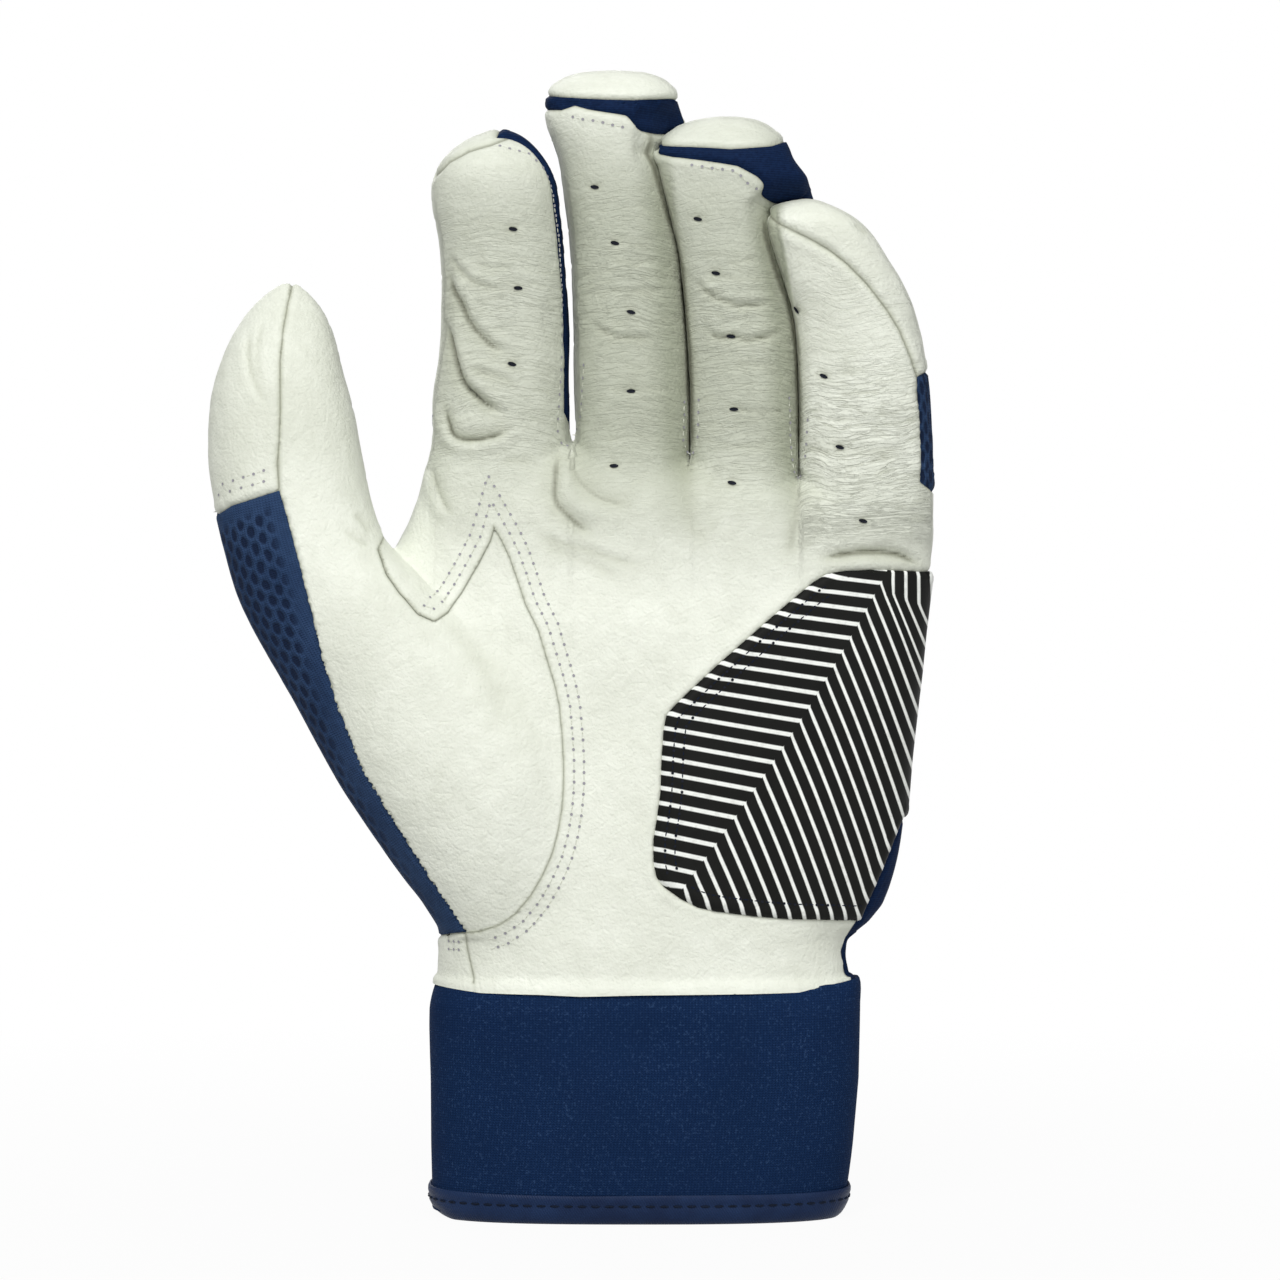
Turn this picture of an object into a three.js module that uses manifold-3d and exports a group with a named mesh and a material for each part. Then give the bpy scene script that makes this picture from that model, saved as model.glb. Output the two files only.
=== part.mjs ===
// Batting glove for the left hand, filled out as if worn and standing on its cuff hem.
// Millimetres. +Z runs from the hem to the fingertips, -Y is the palm side and +X the little
// finger's side. x = 0 is the middle of the whole width, from the thumb to the little finger.
import * as THREE from "three";
import { mergeVertices } from "three/addons/utils/BufferGeometryUtils.js";
import Module from "manifold-3d";

const wasm = await Module();
wasm.setup();

// Driving dimensions
const palmWidth = 101;
const palmLength = 104;
const palmDepth = 36;
const cuffWidth = 85.6;
const cuffDepth = 38;
const cuffHeight = 46;
const cuffCentreX = 14.6;
const thumbWidth = 32;
const thumbDepth = 26;
const thumbLength = 131;
const indexLength = 78.4;
const indexWidth = 27;
const indexDepth = 23;
const middleLength = 90;
const middleWidth = 23.5;
const middleDepth = 23;
const ringLength = 80.8;
const ringWidth = 21.2;
const ringDepth = 22.5;
const littleLength = 68;
const littleWidth = 26;
const littleDepth = 22;

// Material thicknesses and clearances
const leatherThickness = 1;
const patchThickness = 0.8;
const cuffThickness = 2;
const bindingThickness = 1;
const padThickness = 0.8;
const strapThickness = 1.5;
const seamGap = 0.3;
const layerGap = 0.3;
const overrun = 4;
const reach = 120;
const highReach = 3 * reach;

// Seams and folds
const sideSeamY = 2;
const gussetWidth = 8;
const creaseHeight = 11;
const bindingHeight = 6.4;

// Back slit and strap
const slitCentreX = 14;
const slitWidth = 10;
const slitTopWidth = 3;
const slitLength = 72;
const slitBindingWidth = 3;
const strapHeight = 25;
const strapEndHeight = 20;
const strapCentreZ = 26;
const strapRootX = 50;
const strapEndX = -20;
const anchorLength = 6;
const padLength = 24;
const padMargin = 1.5;
const tabLength = 10;
const tabHeight = 14;

// Mesh fineness
const palmSides = 28;
const fingerSides = 14;
const cuffSides = 32;
const domeSteps = 4;

// Points on the palm: across from x = 0 by the palm's width, up from the cuff by its length
const palmX = (share) => share * palmWidth;
const palmZ = (share) => cuffHeight + share * palmLength;

// Rows of the tables below: height, left, right, front and back. Heights are shares of the
// form's length, sides are shares of its width, and front and back are shares of its depth.
const palm = {
  rootZ: cuffHeight,
  length: palmLength,
  width: palmWidth,
  depth: palmDepth,
  centreX: 0,
  power: 2.6,
  sides: palmSides,
  topShare: 1.032,
  domeShare: 0.09,
  domePower: 2,
  rowShares: [
    [0, -0.269, 0.558, -0.5, 0.5],
    [0.1, -0.265, 0.555, -0.5, 0.5],
    [0.17, -0.27, 0.605, -0.5, 0.5],
    [0.27, -0.28, 0.632, -0.5, 0.5],
    [0.44, -0.31, 0.661, -0.48, 0.5],
    [0.67, -0.385, 0.694, -0.45, 0.47],
    [0.77, -0.385, 0.706, -0.43, 0.44],
    [0.845, -0.352, 0.713, -0.4, 0.4],
    [0.885, -0.322, 0.716, -0.385, 0.38],
    [0.98, -0.287, 0.716, -0.345, 0.34],
    [1.032, -0.28, 0.71, -0.33, 0.325],
  ],
  slopeShares: [
    [0, 0],
    [0.8, 0],
    [0.9, -0.06],
    [1.032, -0.15],
  ],
};

const thumb = {
  name: "thumb",
  rootZ: palmZ(0.1),
  length: thumbLength,
  width: thumbWidth,
  depth: thumbDepth,
  centreX: 0,
  power: 2.2,
  sides: fingerSides,
  topShare: 1,
  domeShare: 0.21,
  domePower: 1.8,
  hingeShare: 0.75,
  rowShares: [
    [0, -0.81, -0.125, -0.58, 0.46],
    [0.053, -0.944, 0.06, -0.7, 0.5],
    [0.089, -1.06, 0.125, -0.76, 0.5],
    [0.226, -1.44, 0.06, -0.88, 0.46],
    [0.363, -1.75, -0.19, -0.9, 0.42],
    [0.5, -2.06, -0.69, -0.88, 0.35],
    [0.593, -2.18, -1.125, -0.85, 0.27],
    [0.653, -2.23, -1.244, -0.81, 0.23],
    [0.714, -2.27, -1.3, -0.77, 0.23],
    [0.806, -2.272, -1.37, -0.73, 0.23],
    [0.867, -2.256, -1.4, -0.71, 0.21],
    [1, -2.2, -1.35, -0.66, 0.16],
  ],
};

const fingers = [
  {
    name: "index",
    centreX: palmX(-0.1327),
    rootZ: palmZ(0.904),
    length: indexLength,
    width: indexWidth,
    depth: indexDepth,
    power: 2.3,
    sides: fingerSides,
    topShare: 1,
    domeShare: 0.16,
    domePower: 1.9,
    hingeShare: 0.46,
    rowShares: [
      [0, -0.5, 0.474, -0.5, 0.5],
      [0.2, -0.496, 0.478, -0.5, 0.48],
      [0.31, -0.535, 0.485, -0.52, 0.46],
      [0.485, -0.474, 0.49, -0.56, 0.42],
      [0.69, -0.481, 0.45, -0.67, 0.28],
      [0.816, -0.54, 0.407, -0.76, 0.16],
      [0.918, -0.53, 0.37, -0.79, 0.1],
      [1, -0.42, 0.35, -0.66, 0.08],
    ],
  },
  {
    name: "middle",
    centreX: palmX(0.1208),
    rootZ: palmZ(0.904),
    length: middleLength,
    width: middleWidth,
    depth: middleDepth,
    power: 2.3,
    sides: fingerSides,
    topShare: 1,
    domeShare: 0.1,
    domePower: 3,
    hingeShare: 0.445,
    rowShares: [
      [0, -0.485, 0.485, -0.5, 0.5],
      [0.178, -0.477, 0.481, -0.5, 0.48],
      [0.267, -0.485, 0.477, -0.52, 0.46],
      [0.467, -0.502, 0.434, -0.57, 0.4],
      [0.6, -0.528, 0.383, -0.63, 0.32],
      [0.733, -0.587, 0.332, -0.71, 0.22],
      [0.822, -0.645, 0.315, -0.77, 0.16],
      [0.871, -0.72, 0.353, -0.79, 0.12],
      [0.933, -0.75, 0.405, -0.76, 0.1],
      [1, -0.74, 0.4, -0.6, 0.08],
    ],
  },
  {
    name: "ring",
    centreX: palmX(0.3446),
    rootZ: palmZ(0.904),
    length: ringLength,
    width: ringWidth,
    depth: ringDepth,
    power: 2.3,
    sides: fingerSides,
    topShare: 1,
    domeShare: 0.12,
    domePower: 2.4,
    hingeShare: 0.42,
    rowShares: [
      [0, -0.49, 0.49, -0.5, 0.5],
      [0.173, -0.49, 0.485, -0.5, 0.48],
      [0.297, -0.49, 0.48, -0.53, 0.46],
      [0.458, -0.519, 0.44, -0.58, 0.4],
      [0.619, -0.575, 0.345, -0.66, 0.3],
      [0.755, -0.642, 0.305, -0.74, 0.2],
      [0.817, -0.665, 0.38, -0.78, 0.14],
      [0.891, -0.69, 0.455, -0.8, 0.1],
      [1, -0.68, 0.41, -0.6, 0.08],
    ],
  },
  {
    name: "little",
    centreX: palmX(0.5861),
    rootZ: palmZ(0.865),
    length: littleLength,
    width: littleWidth,
    depth: littleDepth,
    power: 2.3,
    sides: fingerSides,
    topShare: 1,
    domeShare: 0.18,
    domePower: 2,
    hingeShare: 0.41,
    rowShares: [
      [0, -0.47, 0.508, -0.5, 0.5],
      [0.124, -0.5, 0.508, -0.52, 0.48],
      [0.294, -0.505, 0.5, -0.58, 0.42],
      [0.485, -0.508, 0.454, -0.66, 0.34],
      [0.676, -0.535, 0.346, -0.74, 0.24],
      [0.824, -0.6, 0.138, -0.82, 0.1],
      [0.926, -0.63, 0.04, -0.84, 0],
      [1, -0.63, -0.085, -0.7, -0.06],
    ],
  },
];

// Outlines of the palm side, as shares of the palm's width and length from the cuff's top
const thenarShares = [
  [-0.152, 0.896],
  [-0.121, 0.837],
  [-0.088, 0.746],
  [-0.048, 0.644],
  [-0.022, 0.55],
  [-0.014, 0.446],
  [-0.018, 0.35],
  [-0.038, 0.263],
  [-0.079, 0.185],
  [-0.145, 0.126],
  [-0.208, 0.113],
  [-0.398, 0.427],
  [-0.487, 0.658],
  [-0.537, 0.831],
  [-0.566, 0.965],
  [-0.582, 1.1],
  [-0.34, 1.1],
  [-0.347, 0.844],
  [-0.35, 0.777],
  [-0.315, 0.727],
  [-0.267, 0.712],
  [-0.218, 0.766],
];

// Crotch between thumb and palm, and the height where the strips between the fingers start
const crotchShare = [-0.345, 0.86];
const webShare = 0.93;

const thumbMeshShares = [
  [-0.9, 1.1],
  [-0.582, 1.1],
  [-0.566, 0.965],
  [-0.537, 0.831],
  [-0.487, 0.658],
  [-0.398, 0.427],
  [-0.208, 0.113],
  [-0.266, 0.12],
  [-0.9, 0.12],
];

const wristSideShares = [
  [-0.4, 0.12],
  [-0.266, 0.12],
  [-0.208, 0.113],
  [-0.196, 0.062],
  [-0.182, -0.05],
  [-0.4, -0.05],
];

const wristGussetShares = [
  [0.8, -0.05],
  [0.538, -0.05],
  [0.524, 0.065],
  [0.522, 0.1],
  [0.577, 0.148],
  [0.613, 0.244],
  [0.631, 0.327],
  [0.8, 0.35],
];

const wristGussetBackShares = [
  [0.8, -0.05],
  [0.45, -0.05],
  [0.47, 0.1],
  [0.55, 0.22],
  [0.631, 0.327],
  [0.8, 0.35],
];

const heelPatchShares = [
  [0.493, 0.806],
  [0.75, 0.812],
  [0.75, 0.52],
  [0.661, 0.292],
  [0.632, 0.27],
  [0.588, 0.138],
  [0.434, 0.154],
  [0.295, 0.167],
  [0.216, 0.187],
  [0.17, 0.235],
  [0.166, 0.273],
  [0.182, 0.504],
  [0.2, 0.561],
  [0.335, 0.658],
];

// Gussets that run over a fingertip: the height where they turn to the front, and the heights
// that their lower and upper seams reach one finger depth ahead, as shares of the length
const tipBandShares = {
  middle: { turn: 0.89, lower: 0.93, upper: 0.965 },
  ring: { turn: 0.84, lower: 0.9, upper: 1.03 },
};

// Little finger: where the seam to the white back runs across the front, share of its width
const littleSeamShares = [
  [-0.35, 1.1],
  [-0.3, 0.97],
  [0, 0.8],
  [0.22, 0.62],
  [0.36, 0.47],
  [0.4, 0.4],
];

// Thumb: where its side seam runs, as shares of its width and length
const thumbSeamShares = [
  [-1.76, 1.1],
  [-1.76, 0.99],
  [-1.84, 0.85],
  [-1.85, 0.7],
  [-1.85, 0.6],
];

// Finishes
const leatherMaterial = { color: 0xe4e8da, roughness: 0.55, metalness: 0 };
const navyMeshMaterial = { color: 0x2b4276, roughness: 0.85, metalness: 0 };
const navyStretchMaterial = { color: 0x1b2f5c, roughness: 0.7, metalness: 0 };
const patchMaterial = { color: 0x23231f, roughness: 0.5, metalness: 0 };
const cuffMaterial = { color: 0x152a54, roughness: 0.8, metalness: 0 };
const bindingMaterial = { color: 0x142650, roughness: 0.4, metalness: 0 };
const hookMaterial = { color: 0x1a1d26, roughness: 0.9, metalness: 0 };

const glove = new THREE.Group();

// Turns a closed geometry into a solid that can be cut
function solidOf(geometry) {
  const bare = new THREE.BufferGeometry();
  const loose = geometry.index ? geometry.toNonIndexed() : geometry;
  bare.setAttribute("position", loose.getAttribute("position"));
  const merged = mergeVertices(bare);
  return new wasm.Manifold(
    new wasm.Mesh({
      numProp: 3,
      vertProperties: merged.attributes.position.array,
      triVerts: new Uint32Array(merged.index.array),
    }),
  );
}

// Keeps the largest body of a cut solid, so that slivers at the seams are dropped
function largestBody(indices, vertexCount) {
  const parent = Array.from({ length: vertexCount }, (unused, i) => i);
  const find = (i) => {
    while (parent[i] !== i) {
      parent[i] = parent[parent[i]];
      i = parent[i];
    }
    return i;
  };
  for (let i = 0; i < indices.length; i += 3) {
    parent[find(indices[i])] = find(indices[i + 1]);
    parent[find(indices[i + 1])] = find(indices[i + 2]);
  }
  const counts = new Map();
  for (let i = 0; i < indices.length; i += 3) {
    const root = find(indices[i]);
    counts.set(root, (counts.get(root) ?? 0) + 1);
  }
  const [best] = [...counts].sort((a, b) => b[1] - a[1])[0];
  return indices.filter((unused, i) => find(indices[i - (i % 3)]) === best);
}

// Adds a solid to the glove as a named mesh
function addPiece(name, solid, material) {
  const mesh = solid.getMesh();
  const kept = largestBody(Array.from(mesh.triVerts), mesh.numVert);
  const geometry = new THREE.BufferGeometry();
  geometry.setAttribute("position", new THREE.BufferAttribute(mesh.vertProperties, 3));
  geometry.setIndex(kept);
  const piece = new THREE.Mesh(
    geometry.toNonIndexed(),
    new THREE.MeshStandardMaterial(material),
  );
  piece.geometry.computeVertexNormals();
  piece.name = name;
  glove.add(piece);
}

// Smooth value between table rows: column `column` at height `share`
function rowValue(rows, share, column) {
  const last = rows.length - 1;
  let i = 0;
  while (i < last - 1 && share > rows[i + 1][0]) i += 1;
  const slope = (a, b) => (rows[b][column] - rows[a][column]) / (rows[b][0] - rows[a][0]);
  const span = rows[i + 1][0] - rows[i][0];
  const t = Math.min(1, Math.max(0, (share - rows[i][0]) / span));
  const startSlope = slope(Math.max(0, i - 1), i + 1);
  const endSlope = slope(i, Math.min(last, i + 2));
  const startWeight = (2 * t - 3) * t * t + 1;
  const endWeight = (3 - 2 * t) * t * t;
  return (
    rows[i][column] * startWeight +
    rows[i + 1][column] * endWeight +
    startSlope * span * ((t - 2) * t + 1) * t +
    endSlope * span * (t - 1) * t * t
  );
}

// Half sizes and centre of a form's section at a height share, grown or shrunk by `outset`
function sectionAt(form, share, outset) {
  const [left, right] = [1, 2].map((c) => rowValue(form.rowShares, share, c) * form.width);
  const [front, back] = [3, 4].map((c) => rowValue(form.rowShares, share, c) * form.depth);
  const top = (form.topShare ?? 1) * form.length + outset;
  const domeHeight = (form.domeShare ?? 0) * form.length;
  const t = domeHeight ? Math.max(0, 1 + (share * form.length - top) / domeHeight) : 0;
  const shrink = t ? Math.max(0, 1 - t ** form.domePower) ** (1 / form.domePower) : 1;
  return {
    x: form.centreX + (left + right) / 2,
    y: (front + back) / 2,
    halfWidth: ((right - left) / 2 + outset) * shrink,
    halfDepth: ((back - front) / 2 + outset) * shrink,
    slope: form.slopeShares ? rowValue(form.slopeShares, share, 1) : 0,
  };
}

// One ring of points round a section
function ringPoints(form, share, outset) {
  const section = sectionAt(form, share, outset);
  const z = form.rootZ + share * form.length;
  const points = [];
  for (let i = 0; i < form.sides; i += 1) {
    const angle = (2 * Math.PI * i) / form.sides;
    const round = (v) => Math.sign(v) * Math.abs(v) ** (2 / form.power);
    const dx = section.halfWidth * round(Math.cos(angle));
    const dy = section.halfDepth * round(Math.sin(angle));
    points.push([section.x + dx, section.y + dy, z + section.slope * dx]);
  }
  return points;
}

// Closed skin over a stack of rings, flat or pointed at the ends
function skin(rings, bottom, top) {
  const sides = rings[0].length;
  const points = [...rings.flat(), bottom, top];
  const low = points.length - 2;
  const high = points.length - 1;
  const faces = [];
  for (let i = 0; i < sides; i += 1) {
    const next = (i + 1) % sides;
    for (let j = 0; j + 1 < rings.length; j += 1) {
      const a = j * sides + i;
      const b = j * sides + next;
      faces.push(a, b, b + sides, a, b + sides, a + sides);
    }
    faces.push(low, next, i);
    faces.push(high, (rings.length - 1) * sides + i, (rings.length - 1) * sides + next);
  }
  const geometry = new THREE.BufferGeometry();
  geometry.setAttribute("position", new THREE.Float32BufferAttribute(points.flat(), 3));
  geometry.setIndex(faces);
  return solidOf(geometry);
}

const middleOf = (ring) =>
  [0, 1, 2].map((axis) => ring.reduce((sum, p) => sum + p[axis], 0) / ring.length);

// Form from height share `from` to `to`; without `to` it runs to its rounded top
function loft(form, outset, from = 0, to = null) {
  const topShare = (form.topShare ?? 1) + outset / form.length;
  const domeStart = topShare - (form.domeShare ?? 0);
  const lastRow = to ?? domeStart - form.domeShare / domeSteps;
  const shares = [from];
  for (const [share] of form.rowShares) if (share > from && share < lastRow) shares.push(share);
  if (to !== null) {
    shares.push(to);
  } else {
    for (let i = 0; i < domeSteps; i += 1) {
      const rise = Math.sin((Math.PI / 2) * (i / domeSteps));
      const share = domeStart + form.domeShare * rise;
      if (share > from) shares.push(share);
    }
  }
  const rings = shares.map((share) => ringPoints(form, share, outset));
  const bottom = middleOf(rings[0]);
  if (to !== null) return skin(rings, bottom, middleOf(rings[rings.length - 1]));
  const tip = middleOf(ringPoints(form, form.topShare, 0));
  return skin(rings, bottom, [tip[0], tip[1], form.rootZ + topShare * form.length]);
}

// Outline points moved outwards by `distance`, or inwards when it is negative
function offsetOutline(points, distance) {
  const shape = points.map(([x, y]) => new THREE.Vector2(x, y));
  const turn = Math.sign(THREE.ShapeUtils.area(shape));
  return shape.map((point, i) => {
    const before = shape[(i + shape.length - 1) % shape.length];
    const after = shape[(i + 1) % shape.length];
    const into = point.clone().sub(before).normalize();
    const out = after.clone().sub(point).normalize();
    const normals = [into, out].map((d) => new THREE.Vector2(d.y * turn, -d.x * turn));
    const miter = normals[0].clone().add(normals[1]).normalize();
    const stretch = Math.max(miter.dot(normals[0]), 1 / overrun);
    return [point.x + (miter.x * distance) / stretch, point.y + (miter.y * distance) / stretch];
  });
}

function extrude(points, length) {
  const shape = new THREE.Shape(points.map(([x, y]) => new THREE.Vector2(x, y)));
  return new THREE.ExtrudeGeometry(shape, { depth: length, bevelEnabled: false });
}

// Prism with an outline in X and Z, running from y = `from` to y = `to`
function prismAlongY(points, from, to) {
  const geometry = extrude(points, to - from);
  return solidOf(geometry.rotateX(Math.PI / 2).translate(0, to, 0));
}

// Prism with an outline in Y and Z, running from x = `from` to x = `to`
function prismAlongX(points, from, to) {
  const turn = new THREE.Matrix4().makeBasis(
    new THREE.Vector3(0, 1, 0),
    new THREE.Vector3(0, 0, 1),
    new THREE.Vector3(1, 0, 0),
  );
  const geometry = extrude(points, to - from);
  return solidOf(geometry.applyMatrix4(turn).translate(from, 0, 0));
}

// Box between two corners
function boxBetween(low, high) {
  const size = high.map((value, axis) => value - low[axis]);
  const centre = high.map((value, axis) => (value + low[axis]) / 2);
  return solidOf(new THREE.BoxGeometry(...size).translate(...centre));
}

// Splits a piece off along a cutter: returns the piece and the rest, a seam gap apart
function splitOff(stock, cutterWith) {
  return {
    piece: stock.intersect(cutterWith(0)),
    rest: stock.subtract(cutterWith(seamGap)),
  };
}

const palmOutline = (shares) => shares.map(([u, v]) => [palmX(u), palmZ(v)]);

const formOutline = (form, shares) =>
  shares.map(([u, v]) => [form.centreX + u * form.width, form.rootZ + v * form.length]);

// Height shares of the fold zone's two edges round a finger's hinge
const foldBottom = (form) => form.hingeShare - creaseHeight / 2 / form.length;
const foldTop = (form) => form.hingeShare + creaseHeight / 2 / form.length;

// Skin of a stretch of one form, one leather thickness thick and open at its cut ends
function tube(form, from, to) {
  const share = overrun / form.length;
  const outer = loft(form, 0, from, to);
  const inner = loft(form, -leatherThickness, from - share, to === null ? null : to + share);
  return outer.subtract(inner);
}

// Skin of the hand up to the fold zones, open at the wrist and at each fold zone
function handSkin() {
  let outer = loft(palm, 0);
  let inner = loft(palm, -leatherThickness, -overrun / palmLength);
  for (const form of [thumb, ...fingers]) {
    const share = overrun / form.length;
    outer = outer.add(loft(form, 0, 0, foldBottom(form)));
    inner = inner.add(loft(form, -leatherThickness, share, foldBottom(form) + share));
  }
  return outer.subtract(inner);
}

// Slit in the back of the cuff and hand, grown by `outset`
function slitCutter(outset) {
  const top = slitLength + outset;
  const half = slitWidth / 2 + outset;
  const topHalf = slitTopWidth / 2 + outset;
  const outline = [
    [slitCentreX - half, -overrun],
    [slitCentreX + half, -overrun],
    [slitCentreX + topHalf, top],
    [slitCentreX - topHalf, top],
  ];
  return prismAlongY(outline, sideSeamY, reach);
}

// Everything in front of a seam at y = `seamY`
function frontOf(seamY, gap) {
  return boxBetween([-reach, -reach, -reach], [reach, seamY + gap, highReach]);
}

function behind(seamY, gap) {
  return boxBetween([-reach, seamY - gap, -reach], [reach, reach, highReach]);
}

// Cutter for a panel: its outline seen from the front, kept to a zone
function panelCutter(shares, zone) {
  const outline = palmOutline(shares);
  return (gap) => prismAlongY(offsetOutline(outline, gap), -reach, reach).intersect(zone(gap));
}

// The thumb above its crotch, all round
function thumbAboveCrotch(gap) {
  const [crotchU, crotchV] = crotchShare;
  return boxBetween(
    [-reach, -reach, palmZ(crotchV) - gap],
    [palmX(crotchU) + gap, reach, highReach],
  );
}

// Strips between two neighbouring fingers, from one finger's fold down over the web to the next
function webGusset(gap, left, right) {
  const half = gussetWidth / 2 + gap;
  return boxBetween(
    [left.centreX - gap, -half, palmZ(webShare) - gap],
    [right.centreX + gap, half, highReach],
  );
}

// Leather, mesh and gussets of the hand body
function addHand() {
  let stock = handSkin();
  const gussets = [0, 1, 2].map((i) => {
    const [left, right] = [fingers[i], fingers[i + 1]];
    const split = splitOff(stock, (gap) => webGusset(gap, left, right));
    stock = split.rest;
    return { name: `${left.name}_${right.name}_gusset`, piece: split.piece };
  });
  gussets.forEach(({ name, piece }) => addPiece(name, piece, navyStretchMaterial));

  const palmSide = (gap) => frontOf(sideSeamY, gap);
  const aroundThumb = (gap) => palmSide(gap).add(thumbAboveCrotch(gap));
  const backSide = (gap) => behind(sideSeamY, gap + seamGap);
  const gussetFront = panelCutter(wristGussetShares, palmSide);
  const gussetBack = panelCutter(wristGussetBackShares, backSide);
  const roundTheWrist = (gap) => gussetFront(gap).add(gussetBack(gap));
  const regions = [
    ["thenar_leather", panelCutter(thenarShares, aroundThumb), leatherMaterial],
    ["thumb_mesh", panelCutter(thumbMeshShares, aroundThumb), navyMeshMaterial],
    ["wrist_side_leather", panelCutter(wristSideShares, palmSide), leatherMaterial],
    ["wrist_gusset", roundTheWrist, navyStretchMaterial],
  ];
  for (const [name, cutter, material] of regions) {
    const split = splitOff(stock, cutter);
    stock = split.rest;
    addPiece(name, split.piece, material);
  }

  const halves = splitOff(stock, palmSide);
  addPiece("palm_leather", halves.piece, leatherMaterial);
  addPiece("back_mesh", halves.rest.subtract(slitCutter(0)), navyMeshMaterial);
}

// Layer that lies on a form's surface, starting `inner` above it
function layerOn(form, inner, thickness, from, to) {
  return loft(form, inner + thickness, from, to).subtract(
    loft(form, inner, from - overrun / form.length, to + overrun / form.length),
  );
}

function addHeelPatch() {
  const layer = layerOn(palm, layerGap, patchThickness, 0, crotchShare[1]);
  const outline = prismAlongY(palmOutline(heelPatchShares), -reach, sideSeamY);
  addPiece("heel_patch", layer.intersect(outline), patchMaterial);
}

function addSlitBinding() {
  const bottomShare = layerGap / palmLength;
  const layer = layerOn(palm, layerGap, patchThickness, bottomShare, crotchShare[1]);
  const ring = slitCutter(slitBindingWidth).subtract(slitCutter(0));
  addPiece("slit_binding", layer.intersect(ring), bindingMaterial);
}

// Cuff forms: the band narrows a little towards the hem on the little finger's side
const cuff = {
  rootZ: 0,
  length: cuffHeight - seamGap,
  width: cuffWidth,
  depth: cuffDepth,
  centreX: cuffCentreX,
  power: 2.8,
  sides: cuffSides,
  rowShares: [
    [-0.5, -0.5, 0.478, -0.49, 0.49],
    [0.1, -0.5, 0.482, -0.49, 0.49],
    [0.6, -0.5, 0.496, -0.5, 0.5],
    [1, -0.5, 0.5, -0.5, 0.5],
    [1.5, -0.5, 0.5, -0.5, 0.5],
  ],
};

// Part of the cuff form between two heights
const cuffLoft = (outset, fromZ, toZ) =>
  loft(cuff, outset, fromZ / cuff.length, toZ / cuff.length);

function addCuff() {
  const band = cuffLoft(0, bindingThickness + seamGap, cuff.length).subtract(
    cuffLoft(-cuffThickness, -overrun, cuff.length + overrun),
  );
  addPiece("cuff_band", band.subtract(slitCutter(0)), cuffMaterial);

  const outset = layerGap + bindingThickness;
  const sleeve = cuffLoft(outset, 0, bindingHeight).subtract(
    cuffLoft(-cuffThickness - outset, -overrun, bindingHeight + overrun),
  );
  const groove = cuffLoft(layerGap, bindingThickness, bindingHeight + overrun).subtract(
    cuffLoft(-cuffThickness - layerGap, 0, bindingHeight + 2 * overrun),
  );
  const binding = sleeve.subtract(groove).subtract(slitCutter(0));
  addPiece("cuff_binding", binding, bindingMaterial);
}

// Flat strap shape in front view, tapering towards the free end at the lower x
function strapOutline(fromX, toX, fromHeight, toHeight) {
  return [
    [fromX, strapCentreZ - fromHeight / 2],
    [toX, strapCentreZ - toHeight / 2],
    [toX, strapCentreZ + toHeight / 2],
    [fromX, strapCentreZ + fromHeight / 2],
  ];
}

// Piece of the strap stack: a layer on the back of the cuff cut to an outline
function cuffLayer(inner, thickness, outline) {
  const layer = layerOn(cuff, inner, thickness, 0, 1);
  return layer.intersect(prismAlongY(outline, 0, reach));
}

function addStrap() {
  const padEndX = strapEndX + padLength;
  const loop = strapOutline(strapEndX - padMargin, padEndX, strapEndHeight, strapEndHeight);
  addPiece("loop_pad", cuffLayer(layerGap, padThickness, loop), hookMaterial);

  const hookInner = 2 * layerGap + padThickness;
  const hookHeight = strapEndHeight - 2 * padMargin;
  const hook = strapOutline(strapEndX + padMargin, padEndX - padMargin, hookHeight, hookHeight);
  addPiece("hook_pad", cuffLayer(hookInner, padThickness, hook), hookMaterial);

  const strapInner = hookInner + layerGap + padThickness;
  const anchor = strapOutline(
    strapRootX - anchorLength,
    strapRootX,
    strapHeight,
    strapHeight,
  );
  const anchorThickness = strapInner - 2 * layerGap;
  addPiece("strap_anchor", cuffLayer(layerGap, anchorThickness, anchor), cuffMaterial);

  const strap = strapOutline(strapEndX, strapRootX, strapEndHeight, strapHeight);
  addPiece("closure_strap", cuffLayer(strapInner, strapThickness, strap), cuffMaterial);

  const tabInner = strapInner + strapThickness + layerGap;
  const tab = strapOutline(strapEndX, strapEndX + tabLength, tabHeight, tabHeight);
  addPiece("pull_tab", cuffLayer(tabInner, padThickness, tab), leatherMaterial);
}

// Heights at which a finger's side seams are set out
const seamHeightShares = [0.3, 0.5, 0.65];

// Middle of a finger's depth at a height share
const midDepth = (form, share) => sectionAt(form, share, 0).y;

// Side outline of a finger's gusset, grown by `gap`: a strip up the side, over the tip where
// the seams turn to the front
function gussetOutline(form, gap) {
  const half = gussetWidth / 2 + gap;
  const z = (share) => form.rootZ + share * form.length;
  const band = tipBandShares[form.name];
  const shares = [...seamHeightShares, band ? band.turn : 1];
  const front = shares.map((share) => [midDepth(form, share) - half, z(share)]);
  const back = shares.map((share) => [midDepth(form, share) + half, z(share)]);
  if (band) {
    const aheadY = midDepth(form, band.turn) - form.depth;
    front.push([aheadY, z(band.lower) - gap]);
    back.push([aheadY, z(band.upper) + gap]);
  } else {
    front.push([midDepth(form, 1) - half, z(1) + overrun]);
    back.push([midDepth(form, 1) + half, z(1) + overrun]);
  }
  return [...front, ...back.reverse()];
}

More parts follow.
